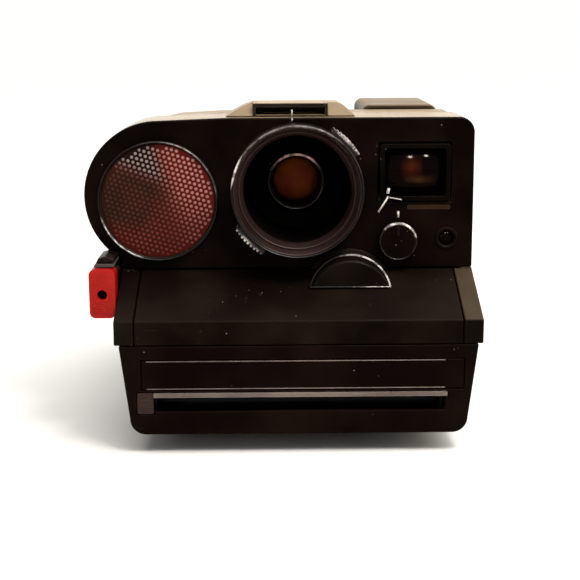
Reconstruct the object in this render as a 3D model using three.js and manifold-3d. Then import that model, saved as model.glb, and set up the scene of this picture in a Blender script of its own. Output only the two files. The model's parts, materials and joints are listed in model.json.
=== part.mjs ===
// A rigid sonar-focusing instant camera for integral film, in millimetres.
// +Z is up and the front faces -Y. The origin is the middle of the base, seen from above.
// X is measured from the lens axis inside the "camera" group, which the last lines shift sideways.
import * as THREE from "three";
import { mergeVertices } from "three/addons/utils/BufferGeometryUtils.js";
import Module from "manifold-3d";

const wasm = await Module();
wasm.setup();

// ---------- driving dimensions ----------
const GAP = 0.3; // between neighbouring pieces
const WALL = 2; // moulded wall
const HALF_WIDTH = 58.5; // body, from the lens axis to each side
const REAR = 73;
const BAND_FRONT = -73; // front of the band and of the film door
const HEAD_FRONT = -45; // front of the head panel
const HEAD_BACK = -20; // seam between head shell and rear cover
const HEAD_TOP = 105;
const HEAD_BOTTOM = 55.2;
const BAND_TOP = 43.6;
const DOOR_TOP = 35.5;
const DOOR_BOTTOM = 6.5;
const DOOR_BACK = -50;
const BASE_TOP = 30;
const FLOOR = 4; // floor of the film chamber
const CHAMBER_HALF = 47.5;
const CHAMBER_TOP = 25;
const CHAMBER_BACK = 62;
const SLOPE = 101; // the back slope is the plane z = SLOPE - y

const LENS_Z = 82;
const RING_RADIUS = 21.6;
const RING_FRONT = -57;
const RING_NECK = 20.2; // the ring where it passes through the head panel
const WELL_FLOOR = -25.8; // bottom of the deep funnel inside the ring
const HUB_END = WELL_FLOOR + 8.6; // rear end of the ring's hub
const CELL = { front: WELL_FLOOR - 2.4, back: WELL_FLOOR + 4.3, radius: 9.9, bore: 8.5 }; // lens barrel
const FOCUS_MODULE = 0.8;
const FOCUS_TEETH = { ring: 50, pinion: 12, stop: 24 };
const DRUM = { x: 17.1, z: 46.5, radius: 13.6, step: 15.4 };

const EAR = { x: -45.5, z: 79.4, radius: 24.8 }; // round left end of the head
const SONAR = { x: -45.9, z: 78, radius: 19.9 };
const FINDER = { x: 39, z: 87, width: 22, height: 17.5 };
const FINDER_TUBE = { x0: 24, x1: 51, z0: 82, z1: 106.6, back: 38 };
const DIAL = { x: 33.3, z: 64.5, radius: 6.6 };
const EYE = { x: 49.7, z: 65, radius: 3 }; // electric eye
const SOCKET = { x0: -23.5, x1: 19.5, z1: 109.5, front: -40, back: -24 };
const FLASH_SLOT = { half: 11.4, z0: 105.7, z1: 108.1, depth: 12 };

const HINGE = { y: -51.5, z: 2.2, pin: 0.8, knuckle: 1.8 };
const EXIT = { half: 46.8, z0: 14, z1: 18.5 }; // picture exit slot
const ROLLER_MODULE = 0.64;
const ROLLER_TEETH = { roller: 12, idler: 29, motor: 8 };
const ROLLER = { y: -57, upper: 21.08, lower: 13.4, radius: 3.75, half: 45.4 };
const GEAR_PLANE = { x0: 48.2, x1: 50.4 };
const MOTOR = { y: -50, z: 43.9, radius: 5.5, x0: 20, x1: 46 };

const BUTTON = { x0: -67.3, x1: -58.9, z0: 42.2, z1: 58.2, front: -62, back: -55 };
const BUTTON_MID = [(BUTTON.x0 + BUTTON.x1) / 2, (BUTTON.z0 + BUTTON.z1) / 2];
const LATCH_OUT = 60; // how far the door latch stands out to the side
const LENS_X = (EAR.radius - EAR.x - LATCH_OUT) / 2; // puts the origin in the middle of the width

// ---------- materials ----------
const finish = (color, roughness, metalness = 0) =>
  new THREE.MeshStandardMaterial({ color, roughness, metalness });
const BLACK = finish(0x15120f, 0.5);
const GLOSS_BLACK = finish(0x0c0b0a, 0.25);
const COPPER = finish(0x9c3f2c, 0.35, 0.8);
const GOLD = finish(0xc98f4e, 0.25, 1);
const RED = finish(0xd0261a, 0.4);
const GREY = finish(0x9b9890, 0.4);
const STEEL = finish(0x8d8f92, 0.35, 0.9);
const BRASS = finish(0xb08d45, 0.35, 0.9);
const GLASS = finish(0x20242c, 0.05);
const MIRROR = finish(0xdfe3e8, 0.03, 1);
const RUBBER = finish(0x1a1816, 0.8);
const ROLLER_STEEL = finish(0xa8abb0, 0.2, 1);
const WHITE = finish(0xe6e4de, 0.5);
const GREEN = finish(0x2f5a3a, 0.6);
const NYLON = finish(0xd9d5c8, 0.5);

// ---------- solids ----------
const moved = (geometry, x, y, z) => geometry.translate(x, y, z);

// A box between two corners.
function block(x0, x1, y0, y1, z0, z1) {
  const box = new THREE.BoxGeometry(x1 - x0, y1 - y0, z1 - z0);
  return moved(box, (x0 + x1) / 2, (y0 + y1) / 2, (z0 + z1) / 2);
}

// A closed outline of corners, each [across, up].
function outline(corners) {
  return new THREE.Shape(corners.map(([a, b]) => new THREE.Vector2(a, b)));
}

function roundedRect(x0, x1, z0, z1, r) {
  const shape = new THREE.Shape();
  shape.moveTo(x0 + r, z0);
  shape.lineTo(x1 - r, z0);
  shape.absarc(x1 - r, z0 + r, r, -Math.PI / 2, 0, false);
  shape.lineTo(x1, z1 - r);
  shape.absarc(x1 - r, z1 - r, r, 0, Math.PI / 2, false);
  shape.lineTo(x0 + r, z1);
  shape.absarc(x0 + r, z1 - r, r, Math.PI / 2, Math.PI, false);
  shape.lineTo(x0, z0 + r);
  shape.absarc(x0 + r, z0 + r, r, Math.PI, 1.5 * Math.PI, false);
  return shape;
}

const extruded = (shape, depth, curveSegments = 6) =>
  new THREE.ExtrudeGeometry(shape, { depth, bevelEnabled: false, curveSegments });

// An outline in the XZ plane, carried along Y.
function alongY(shape, y0, y1, curveSegments) {
  return moved(extruded(shape, y1 - y0, curveSegments).rotateX(Math.PI / 2), 0, y1, 0);
}

// An outline in the YZ plane, carried along X.
const YZ_TO_X = new THREE.Matrix4().makeBasis(
  new THREE.Vector3(0, 1, 0),
  new THREE.Vector3(0, 0, 1),
  new THREE.Vector3(1, 0, 0),
);
function alongX(shape, x0, x1, curveSegments) {
  return moved(extruded(shape, x1 - x0, curveSegments).applyMatrix4(YZ_TO_X), x0, 0, 0);
}

// A turned piece about a line along Y through (x, z); corners are [radius, y].
function turned(corners, x = 0, z = 0, segments = 32) {
  const points = corners.map(([r, y]) => new THREE.Vector2(r, y));
  const open = points[0].x === 0 && points[points.length - 1].x === 0;
  if (!open) points.push(points[0].clone());
  if (THREE.ShapeUtils.area(points) < 0) points.reverse();
  return moved(new THREE.LatheGeometry(points, segments), x, 0, z);
}

const disc = (r, y0, y1, x, z, segments) =>
  turned([[0, y0], [r, y0], [r, y1], [0, y1]], x, z, segments);

// The same turned pieces about a line along X through (y, z), and about a vertical line.
const rodX = (r, x0, x1, y, z, segments = 20) =>
  moved(disc(r, -x1, -x0, 0, 0, segments).rotateZ(Math.PI / 2), 0, y, z);
const rodZ = (r, z0, z1, x, y, segments = 20) =>
  moved(disc(r, z0, z1, 0, 0, segments).rotateX(Math.PI / 2), x, y, 0);

function solid(geometry) {
  const bare = geometry.index ? geometry.toNonIndexed() : geometry.clone();
  bare.deleteAttribute("normal");
  bare.deleteAttribute("uv");
  const merged = mergeVertices(bare, 1e-4);
  return new wasm.Manifold(
    new wasm.Mesh({
      numProp: 3,
      vertProperties: merged.attributes.position.array,
      triVerts: new Uint32Array(merged.index.array),
    }),
  );
}

function geometryOf(manifold) {
  const { vertProperties, triVerts } = manifold.getMesh();
  const geometry = new THREE.BufferGeometry();
  geometry.setAttribute("position", new THREE.BufferAttribute(vertProperties, 3));
  geometry.setIndex(new THREE.BufferAttribute(triVerts, 1));
  const flat = geometry.toNonIndexed();
  flat.computeVertexNormals();
  return flat;
}

const joined = (...parts) => geometryOf(parts.map(solid).reduce((sum, next) => sum.add(next)));
const cut = (base, ...tools) =>
  geometryOf(tools.map(solid).reduce((rest, tool) => rest.subtract(tool), solid(base)));
const common = (a, b) => geometryOf(solid(a).intersect(solid(b)));

// ---------- gears ----------
const TURN = 2 * Math.PI;

// A spur gear outline with straight-flanked teeth; phase is the angle of one tooth's middle.
function gearOutline(teeth, module, phase, bore) {
  const pitch = (teeth * module) / 2;
  const tip = pitch + 0.8 * module;
  const root = pitch - 1.15 * module;
  const step = TURN / teeth;
  const corners = [];
  for (let i = 0; i < teeth; i++) {
    const middle = phase + i * step;
    const flank = [[root, -0.29], [tip, -0.1], [tip, 0.1], [root, 0.29]];
    for (const [r, share] of flank) {
      const angle = middle + share * step;
      corners.push([r * Math.cos(angle), r * Math.sin(angle)]);
    }
  }
  const shape = outline(corners);
  shape.holes.push(new THREE.Path().absarc(0, 0, bore, 0, TURN, true));
  return shape;
}

// The phase of a gear that meshes with gear A, seen from A in the given direction.
function meshedPhase(direction, phaseA, teethA, teethB) {
  const share = ((direction - phaseA) * teethA) / TURN;
  return direction + Math.PI - ((0.5 - share) * TURN) / teethB;
}

// The centre of a gear that meshes with gears at a and b, on the side with larger y.
function idlerCentre(a, b, fromA, fromB) {
  const span = Math.hypot(b[0] - a[0], b[1] - a[1]);
  const along = (fromA ** 2 - fromB ** 2 + span ** 2) / (2 * span);
  const off = Math.sqrt(fromA ** 2 - along ** 2);
  const u = [(b[0] - a[0]) / span, (b[1] - a[1]) / span];
  return [a[0] + along * u[0] - off * u[1], a[1] + along * u[1] + off * u[0]];
}

const angleTo = (a, b) => Math.atan2(b[1] - a[1], b[0] - a[0]);

// ---------- the group of named pieces ----------
const camera = new THREE.Group();
camera.position.x = LENS_X;
const slope = new THREE.Group(); // lies on the mirror plane: local Z leaves it to the rear and up
const MIRROR_MIDDLE = { y: 14, z: 79 };
slope.position.set(0, MIRROR_MIDDLE.y, MIRROR_MIDDLE.z);
slope.rotation.x = -Math.PI / 4;
camera.add(slope);

function piece(name, geometry, material, place = camera) {
  const mesh = new THREE.Mesh(geometry, material);
  mesh.name = name;
  place.add(mesh);
}

// ---------- lower body ----------
const PAD_HALF = 42;

// Body section across X: a narrow pad below, sides that lean out upwards.
const BASE_SECTION = outline([
  [-PAD_HALF, 0],
  [PAD_HALF, 0],
  [49, 3.2],
  [53, 7.5],
  [54.4, 12],
  [57.2, BASE_TOP],
  [-57.2, BASE_TOP],
  [-54.4, 12],
  [-53, 7.5],
  [-49, 3.2],
]);
const SCREWS = [[-37, -38], [37, -38], [0, 54]];
const TRIPOD = { x: 0, y: 67.5, radius: 4.3, bore: 3.175, top: 9 };
const CONTACTS = [-22, 22];
const CONTACT = { half: 4, y0: -44, y1: -30, z0: 2.9, z1: 3.9 };
const LATCH = { y0: -47, y1: -37, z0: 19, z1: 28, travel: 4 };
const LUGS = [[-38, -30.3], [-19.7, 19.7], [30.3, 38]]; // fixed hinge knuckles
const EARS = [[-30, -20], [20, 30]]; // door hinge knuckles

function baseHousing() {
  const shell = alongY(BASE_SECTION, DOOR_BACK + GAP, REAR);
  const hollows = [
    block(-CHAMBER_HALF, CHAMBER_HALF, -60, CHAMBER_BACK, FLOOR, CHAMBER_TOP),
    block(-55, 55, DOOR_BACK - 1, 70.5, CHAMBER_TOP, BASE_TOP + 1),
    block(-53, -49.5, -30, 58, 8, CHAMBER_TOP + 1),
    block(49.5, 53, -30, 58, 8, CHAMBER_TOP + 1),
    block(47, 50, 42, 60, 12, 17.5),
    block(47.9, 53.6, DOOR_BACK - 1, -43, 22, CHAMBER_TOP + 1),
    block(55.3, 62, LATCH.y0 - GAP, LATCH.y1 + LATCH.travel + GAP, LATCH.z0 - GAP, LATCH.z1 + GAP),
    alongX(outline([[REAR + 1, BASE_TOP - 3], [REAR + 1, BASE_TOP + 1], [69, BASE_TOP + 1]]), -60, 60),
    rodZ(TRIPOD.radius + GAP, -1, TRIPOD.top + GAP, TRIPOD.x, TRIPOD.y),
  ];
  for (const [x, y] of SCREWS) hollows.push(rodZ(3.1, -1, 2.2, x, y), rodZ(1.7, 2, 3.6, x, y));
  for (const x of CONTACTS) {
    const side = CONTACT.half + GAP;
    hollows.push(block(x - side, x + side, CONTACT.y0 - GAP, CONTACT.y1 + GAP, 2.6, FLOOR + 1));
  }
  for (const [x0, x1] of EARS) {
    hollows.push(rodX(HINGE.knuckle + 0.5, x0 - GAP, x1 + GAP, HINGE.y, HINGE.z));
  }
  const lugs = LUGS.flatMap(([x0, x1]) => [
    rodX(HINGE.knuckle, x0, x1, HINGE.y, HINGE.z),
    block(x0, x1, HINGE.y, -49, HINGE.z - HINGE.knuckle, HINGE.z + 1),
  ]);
  const bore = rodX(HINGE.pin + GAP, -40, 40, HINGE.y, HINGE.z);
  return cut(joined(cut(shell, ...hollows), ...lugs), bore);
}

piece("base_housing", baseHousing(), BLACK);
piece("door_hinge_pin", rodX(HINGE.pin, -37.6, 37.6, HINGE.y, HINGE.z, 12), STEEL);
piece(
  "tripod_nut",
  cut(
    rodZ(TRIPOD.radius, 0.2, TRIPOD.top, TRIPOD.x, TRIPOD.y),
    rodZ(TRIPOD.bore, -1, TRIPOD.top - 1, TRIPOD.x, TRIPOD.y),
  ),
  BRASS,
);
SCREWS.forEach(([x, y], i) => {
  const head = cut(rodZ(2.8, 0.5, 1.9, x, y), block(x - 2, x + 2, y - 0.4, y + 0.4, 0, 1.1));
  piece(`base_screw_${i + 1}`, joined(head, rodZ(1.4, 1.8, 3.3, x, y, 12)), STEEL);
});
CONTACTS.forEach((x, i) => {
  const strip = [
    [CONTACT.y0, CONTACT.z0],
    [CONTACT.y1, CONTACT.z0],
    [CONTACT.y1, CONTACT.z0 + 0.4],
    [(CONTACT.y0 + CONTACT.y1) / 2, CONTACT.z1],
    [CONTACT.y0, CONTACT.z0 + 0.4],
  ];
  const side = i ? "right" : "left";
  piece(`battery_contact_${side}`, alongX(outline(strip), x - 4, x + 4), BRASS);
});

const APERTURE = { half: 39.5, y0: -28.5, y1: 50.5 };
piece(
  "film_frame",
  cut(
    joined(
      block(-54.5, 54.5, -42, 70, CHAMBER_TOP + GAP, CHAMBER_TOP + 1.8),
      block(-APERTURE.half - 3, APERTURE.half + 3, -31.5, 53.5, CHAMBER_TOP + 1, BASE_TOP + 4),
    ),
    block(-APERTURE.half, APERTURE.half, APERTURE.y0, APERTURE.y1, 0, 60),
    block(47.5, 56, -43, -38.5, 20, 40),
  ),
  BLACK,
);

// ---------- front deck and band ----------
const FLANK = { inner: 52, drop: 0.7 }; // sloped ends of the deck

function frontDeck() {
  const back = HEAD_FRONT - GAP;
  const top = HEAD_BOTTOM - GAP;
  const low = DOOR_TOP + GAP;
  const rise = (top - BAND_TOP) / (back - BAND_FRONT);
  const outer = outline([[back, low], [back, top], [BAND_FRONT, BAND_TOP], [BAND_FRONT, low]]);
  const frontIn = BAND_FRONT + WALL;
  const innerFront = BAND_TOP + WALL * rise - WALL * 1.08;
  const inner = outline([
    [back + 5, low - 5],
    [back + 5, innerFront + (back + 5 - frontIn) * rise],
    [frontIn, innerFront],
    [frontIn, low - 5],
  ]);
  const tilt = Math.atan(rise);
  const flanks = [1, -1].map((side) => {
    const flank = outline([
      [side * FLANK.inner, 0],
      [side * (HALF_WIDTH + 1), -FLANK.drop * 1.15],
      [side * (HALF_WIDTH + 1), 20],
      [side * FLANK.inner, 20],
    ]);
    return alongY(flank, -80, 60).rotateX(tilt).translate(0, 0, BAND_TOP - BAND_FRONT * rise);
  });
  return cut(alongX(outer, -HALF_WIDTH, HALF_WIDTH), alongX(inner, -54, 54), ...flanks);
}
piece("front_deck", frontDeck(), BLACK);

// ---------- rear cover, mirror, frame counter ----------
const COVER_HALF = 56;
const COUNTER = { x: -36, along: 46, radius: 8 }; // along: distance down the slope from the mirror
const slopeToCamera = new THREE.Matrix4().compose(
  slope.position,
  new THREE.Quaternion().setFromEuler(slope.rotation),
  new THREE.Vector3(1, 1, 1),
);
const onSlope = (geometry) => geometry.applyMatrix4(slopeToCamera);
const SKIN_OUT = (SLOPE - MIRROR_MIDDLE.y - MIRROR_MIDDLE.z) / Math.SQRT2; // slope skin, from the mirror
const MIRROR_SIZE = { half: 26, top: 17, bottom: 31, thick: 2 };

// Section across X of the rear cover: its top corners follow the head.
function coverSection(inset) {
  const side = COVER_HALF - inset;
  const top = HEAD_TOP - inset;
  return outline([
    [-side, 0],
    [side, 0],
    [side, 101 - inset],
    [side - 3, top],
    [-26, top],
    [-40 + inset / 2, top - 0.8],
    [-48 + inset, top - 2.6],
    [-53 + inset, top - 6],
    [-side, top - 12],
  ]);
}

function rearCover() {
  const low = BASE_TOP + GAP;
  const bottomOfHead = HEAD_BOTTOM - GAP;
  const outer = outline([
    [HEAD_FRONT + GAP, low],
    [SLOPE - low, low],
    [SLOPE - HEAD_TOP, HEAD_TOP],
    [HEAD_BACK + GAP, HEAD_TOP],
    [HEAD_BACK + GAP, bottomOfHead],
    [HEAD_FRONT + GAP, bottomOfHead],
  ]);
  const innerSlope = SLOPE - WALL * Math.SQRT2;
  const inner = outline([
    [HEAD_FRONT - 9, 20],
    [innerSlope - 20, 20],
    [innerSlope - HEAD_TOP + WALL, HEAD_TOP - WALL],
    [HEAD_BACK - 5, HEAD_TOP - WALL],
    [HEAD_BACK - 5, 60],
    [HEAD_FRONT - 9, 60],
  ]);
  const shell = cut(
    common(alongX(outer, -COVER_HALF, COVER_HALF), alongY(coverSection(0), -80, 80)),
    common(alongX(inner, -COVER_HALF, COVER_HALF), alongY(coverSection(WALL), -80, 80)),
  );
  const pads = [-14, 14].map((x) =>
    onSlope(block(x - 3, x + 3, -22, 22, MIRROR_SIZE.thick + GAP, SKIN_OUT - WALL / 2)),
  );
  const { x0, x1, z0 } = FINDER_TUBE;
  return cut(
    joined(shell, ...pads),
    block(x0 - GAP, x1 + GAP, SLOPE - HEAD_TOP, 60, z0 - GAP, 120),
    onSlope(block(COUNTER.x - 3.3, COUNTER.x + 3.3, COUNTER.along - 8, COUNTER.along - 3, 0, 20)),
  );
}
piece("rear_cover", rearCover(), BLACK);

const mirrorOutline = outline([
  [-MIRROR_SIZE.top, -MIRROR_SIZE.half],
  [MIRROR_SIZE.top, -MIRROR_SIZE.half],
  [MIRROR_SIZE.bottom, MIRROR_SIZE.half],
  [-MIRROR_SIZE.bottom, MIRROR_SIZE.half],
]);
piece("mirror", extruded(mirrorOutline, MIRROR_SIZE.thick), MIRROR, slope);

const wheelTop = SKIN_OUT - WALL - 0.5;
const counterWheel = cut(
  rodZ(COUNTER.radius, 0, 1.2, 0, 0, 24),
  block(-6.2, -4.6, -0.8, 0.8, -1, 0.7),
);
piece("counter_wheel", moved(counterWheel, COUNTER.x, COUNTER.along, wheelTop - 1.2), WHITE, slope);
const counterPane = block(
  COUNTER.x - 3, COUNTER.x + 3, COUNTER.along - 7.7, COUNTER.along - 3.3, SKIN_OUT - 1.4, SKIN_OUT - 0.4,
);
piece("counter_window", counterPane, GLASS, slope);

// ---------- head ----------
// Outline of the head, shrunk by an inset: square right end, big round left end.
function headOutline(inset = 0) {
  const right = HALF_WIDTH - inset;
  const top = HEAD_TOP - inset;
  const low = HEAD_BOTTOM + inset;
  const corner = 5 - inset / 2;
  const earRadius = EAR.radius - inset;
  const left = -HALF_WIDTH + inset;
  const start = THREE.MathUtils.degToRad(94);
  const end = TURN - Math.acos((left - EAR.x) / earRadius);
  const shape = new THREE.Shape();
  shape.moveTo(left, low);
  shape.lineTo(right, low);
  shape.lineTo(right, top - corner);
  shape.absarc(right - corner, top - corner, corner, 0, Math.PI / 2, false);
  shape.lineTo(-24, top);
  shape.absarc(EAR.x, EAR.z, earRadius, start, end, false);
  return shape;
}

function headPanel() {
  const { x, z, width, height } = FINDER;
  const sheet = alongY(headOutline(), HEAD_FRONT, HEAD_FRONT + WALL, 24);
  const tools = [
    disc(17.6, -60, -30, SONAR.x, SONAR.z, 40),
    disc(RING_NECK + GAP, -60, -30, 0, LENS_Z, 64),
    block(x - width / 2 - 1, x + width / 2 + 1, -60, -30, z - height / 2 - 1, z + height / 2 + 1),
    disc(EYE.radius, -60, -30, EYE.x, EYE.z, 20),
    disc(1.9, -60, -30, DIAL.x, DIAL.z, 16),
  ];
  return cut(sheet, ...tools);
}
piece("head_panel", headPanel(), BLACK);

function headShell() {
  const front = HEAD_FRONT + WALL + GAP;
  const full = alongY(headOutline(), front, HEAD_BACK, 24);
  const hollow = alongY(headOutline(WALL), front - 1, HEAD_BACK - WALL, 24);
  const wayBack = block(-53.5, 53.5, HEAD_BACK - 5, HEAD_BACK + 1, 50, HEAD_TOP - WALL);
  const wayDown = block(-53.5, 53.5, -60, HEAD_BACK + 1, 50, 60);
  return cut(full, hollow, wayBack, wayDown);
}
piece("head_shell", headShell(), BLACK);

// ---------- sonar ----------
piece("sonar_bezel", turned(
  [[SONAR.radius - 1, -45.3], [SONAR.radius, -45.3], [SONAR.radius, -46.6], [SONAR.radius - 0.5, -47.2],
    [SONAR.radius - 1, -46.8]],
  SONAR.x, SONAR.z, 48,
), GLOSS_BLACK);
piece("sonar_grille", disc(SONAR.radius - 1.3, -46.5, -45.7, SONAR.x, SONAR.z, 48), COPPER);
piece("sonar_foil", disc(17.3, -44.7, -44.3, SONAR.x, SONAR.z, 32), GOLD);
piece("sonar_backplate", turned(
  [[0, -44], [17.2, -44], [17.2, -41], [14, -38], [6, -36], [0, -36]],
  SONAR.x, SONAR.z, 32,
), STEEL);

// ---------- lens, focus ring and focus train ----------
const gearY = [HUB_END - 2.2, HUB_END - 0.2];
const focusLine = Math.atan2(DRUM.z - LENS_Z, DRUM.x);
const pitchOf = (teeth, module) => (teeth * module) / 2;
const ringPitch = pitchOf(FOCUS_TEETH.ring, FOCUS_MODULE);
const pinionPitch = pitchOf(FOCUS_TEETH.pinion, FOCUS_MODULE);
const stopPitch = pitchOf(FOCUS_TEETH.stop, FOCUS_MODULE);
const alongFocusLine = (distance) => [
  distance * Math.cos(focusLine),
  LENS_Z + distance * Math.sin(focusLine),
];
const pinionAt = alongFocusLine(ringPitch + pinionPitch);
const stopAt = alongFocusLine(ringPitch + 2 * pinionPitch + stopPitch);
const pinionPhase = meshedPhase(focusLine, focusLine, FOCUS_TEETH.ring, FOCUS_TEETH.pinion);
const stopPhase = meshedPhase(focusLine, pinionPhase, FOCUS_TEETH.pinion, FOCUS_TEETH.stop);

const GRIP = { from: 31, to: 61, ribs: 6, radius: 23.4 };

// One serrated grip tab: a sector that stands proud of the ring, with ribs along the axis.
function gripTab(turn) {
  const at = (r, deg) => {
    const angle = THREE.MathUtils.degToRad(deg + turn);
    return [r * Math.cos(angle), r * Math.sin(angle)];
  };
  const step = (GRIP.to - GRIP.from) / GRIP.ribs;
  const corners = [];
  for (let i = 0; i < GRIP.ribs; i++) {
    const start = GRIP.from + i * step;
    corners.push(at(GRIP.radius, start + 0.1 * step), at(GRIP.radius, start + 0.6 * step));
    corners.push(at(GRIP.radius - 0.7, start + 0.75 * step));
  }
  corners.push(at(RING_RADIUS - 1, GRIP.to), at(RING_RADIUS - 1, GRIP.from));
  return moved(alongY(outline(corners), RING_FRONT + 0.8, -47), 0, 0, LENS_Z);
}

const HUB_RADIUS = 13.8;
const RING_BORE = 10.3;
// The inside steps down twice, and the neck goes through the panel to the floor of the well.
const ringProfile = [
  [RING_BORE, HUB_END],
  [RING_BORE, WELL_FLOOR],
  [18, WELL_FLOOR],
  [19.2, -48.6],
  [20, -49.2],
  [20.6, RING_FRONT + 0.6],
  [RING_RADIUS - 0.6, RING_FRONT],
  [RING_RADIUS, RING_FRONT + 0.8],
  [RING_RADIUS, HEAD_FRONT - GAP],
  [RING_NECK, HEAD_FRONT - GAP],
  [RING_NECK, WELL_FLOOR + WALL],
  [HUB_RADIUS, WELL_FLOOR + WALL],
  [HUB_RADIUS, HUB_END],
];
piece(
  "focus_ring",
  joined(turned(ringProfile, 0, LENS_Z, 64), gripTab(0), gripTab(180)),
  BLACK,
);
piece("lens_cell", turned(
  [[CELL.bore, CELL.back], [CELL.bore, CELL.front + 1], [CELL.radius - 0.7, CELL.front],
    [CELL.radius, CELL.front + 0.4], [CELL.radius, CELL.back]],
  0, LENS_Z, 40,
), GLOSS_BLACK);
piece("front_lens", turned(
  [[0, CELL.back - 1], [8.2, CELL.back - 1], [8.2, CELL.back - 2.6], [6, CELL.back - 3.9],
    [3, CELL.back - 4.7], [0, CELL.back - 5]],
  0, LENS_Z, 32,
), GLASS);
const focusGearShape = gearOutline(FOCUS_TEETH.ring, FOCUS_MODULE, focusLine, HUB_RADIUS + GAP);
piece("focus_gear", moved(alongY(focusGearShape, ...gearY, 10), 0, 0, LENS_Z), NYLON);
const pinionShape = gearOutline(FOCUS_TEETH.pinion, FOCUS_MODULE, pinionPhase, 1.3);
piece("focus_pinion", moved(alongY(pinionShape, ...gearY, 4), pinionAt[0], 0, pinionAt[1]), NYLON);
const stopShape = gearOutline(FOCUS_TEETH.stop, FOCUS_MODULE, stopPhase, 1.6);
piece("focus_stop_wheel", moved(alongY(stopShape, ...gearY, 4), stopAt[0], 0, stopAt[1]), BRASS);

piece("lens_mount", turned(
  [[7.5, CELL.back + 0.6], [CELL.radius, CELL.back + 0.6], [CELL.radius, HUB_END + 0.6],
    [16, HUB_END + 0.6], [16, HUB_END + 2.3], [7.5, HUB_END + 2.3]],
  0, LENS_Z, 32,
), BLACK);
piece("rear_lens", turned(
  [[0, HUB_END - 2.6], [4, HUB_END - 2.3], [7.2, HUB_END - 1.4], [7.2, HUB_END + 0.2], [0, HUB_END + 0.6]],
  0, LENS_Z, 24,
), GLASS);

// The shutter: a fixed plate with the stop, and two blades whose holes meet on the axis when open.
const SHUTTER_TRAVEL = 8;
const SHUTTER = { front: HUB_END + 2.6, back: HUB_END + 3.6, half: 26, height: 12 };
piece("shutter_plate", cut(
  joined(
    block(-SHUTTER.half, SHUTTER.half, SHUTTER.front, SHUTTER.back, LENS_Z - SHUTTER.height,
      LENS_Z + SHUTTER.height),
    rodFrom(pinionAt, 1),
    rodFrom(stopAt, 1.3),
    block(-3, 22, SHUTTER.front, SHUTTER.back, 40, LENS_Z - SHUTTER.height + 1),
  ),
  disc(4.6, -30, 0, 0, LENS_Z, 24),
), STEEL);

// A stud that stands forward from the shutter plate through a gear.
function rodFrom([x, z], r) {
  return disc(r, gearY[0] - 0.2, SHUTTER.front + 0.5, x, z, 12);
}

function shutterBlade(side, y) {
  const reach = side * SHUTTER_TRAVEL;
  return cut(
    alongY(roundedRect(-16, 16, LENS_Z - 8, LENS_Z + 8, 2), y, y + 0.5, 3),
    disc(4.2, -30, 0, reach, LENS_Z, 20),
  );
}
piece("shutter_blade_left", shutterBlade(1, SHUTTER.back + 0.4), STEEL);
piece("shutter_blade_right", shutterBlade(-1, SHUTTER.back + 1.2), STEEL);

// ---------- half-moon cover of the focus drive ----------
function driveCover() {
  const drum = turned(
    [[0, -57], [DRUM.radius - 0.8, -57], [DRUM.radius, -56.2], [DRUM.radius, -47], [DRUM.step, -46.6],
      [DRUM.step, -45.3], [0, -45.3]],
    DRUM.x, DRUM.z, 48,
  );
  const hollow = disc(DRUM.radius - 1.6, -55.4, -40, DRUM.x, DRUM.z, 32);
  const rise = (HEAD_BOTTOM - BAND_TOP) / (HEAD_FRONT - BAND_FRONT);
  const atFront = BAND_TOP + GAP + 0.2;
  const below = outline([
    [BAND_FRONT, 20],
    [BAND_FRONT, atFront],
    [HEAD_FRONT + 2, atFront + (HEAD_FRONT + 2 - BAND_FRONT) * rise],
    [HEAD_FRONT + 2, 20],
  ]);
  return cut(drum, hollow, alongX(below, 0, 40));
}
piece("focus_drive_cover", driveCover(), GLOSS_BLACK);

// ---------- viewfinder ----------
function finderPane(margin) {
  const { x, z, width, height } = FINDER;
  const w = width / 2 + margin;
  const h = height / 2 + margin;
  return roundedRect(x - w, x + w, z - h, z + h, 1.2);
}
piece("viewfinder_bezel", cut(
  alongY(finderPane(0.7), -46, -43.2, 4),
  alongY(finderPane(-0.9), -50, -40, 4),
  alongY(finderPane(-0.2), -44.9, -40, 4),
), BLACK);
piece("viewfinder_window", alongY(finderPane(-0.5), -44.5, -43.4, 4), GLASS);

function finderHousing() {
  const { x0, x1, z0, z1, back } = FINDER_TUBE;
  const front = SLOPE - HEAD_TOP + GAP;
  const shell = alongY(roundedRect(x0, x1, z0, z1, 3), front, back, 5);
  const hollow = alongY(roundedRect(x0 + 1.8, x1 - 1.8, z0 + 1.8, z1 - 1.8, 1.5), -10, back - 1.8, 3);
  const hole = alongY(roundedRect(30, 45, 90, 100, 2), -10, 60, 4);
  return cut(shell, hollow, hole);
}
piece("viewfinder_housing", finderHousing(), BLACK);
piece("eyepiece_lens", alongY(roundedRect(28.5, 46.5, 88.5, 101.5, 2), 34.4, 35.9, 4), GLASS);
piece("eyecup", cut(
  alongY(roundedRect(25.5, 49.5, 84.5, 105.6, 4), 38.3, 45, 5),
  alongY(roundedRect(29.5, 45.5, 88.5, 101.5, 3), 30, 50, 5),
), RUBBER);

// ---------- dial, electric eye, flash socket ----------
piece("exposure_dial", joined(
  turned([[0, -45.4], [DIAL.radius, -45.4], [DIAL.radius, -48.6], [DIAL.radius - 0.8, -49.4], [0, -49.4]],
    DIAL.x, DIAL.z, 32),
  disc(1.5, -46, -40, DIAL.x, DIAL.z, 12),
  block(DIAL.x - 0.6, DIAL.x + 0.6, -50, -49, DIAL.z, DIAL.z + DIAL.radius - 1),
), GLOSS_BLACK);
piece("photocell_window", turned(
  [[0, -45.6], [EYE.radius + 0.8, -45.3], [EYE.radius - 0.3, -45.3], [EYE.radius - 0.3, -42], [0, -42]],
  EYE.x, EYE.z, 24,
), GLASS);

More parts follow.
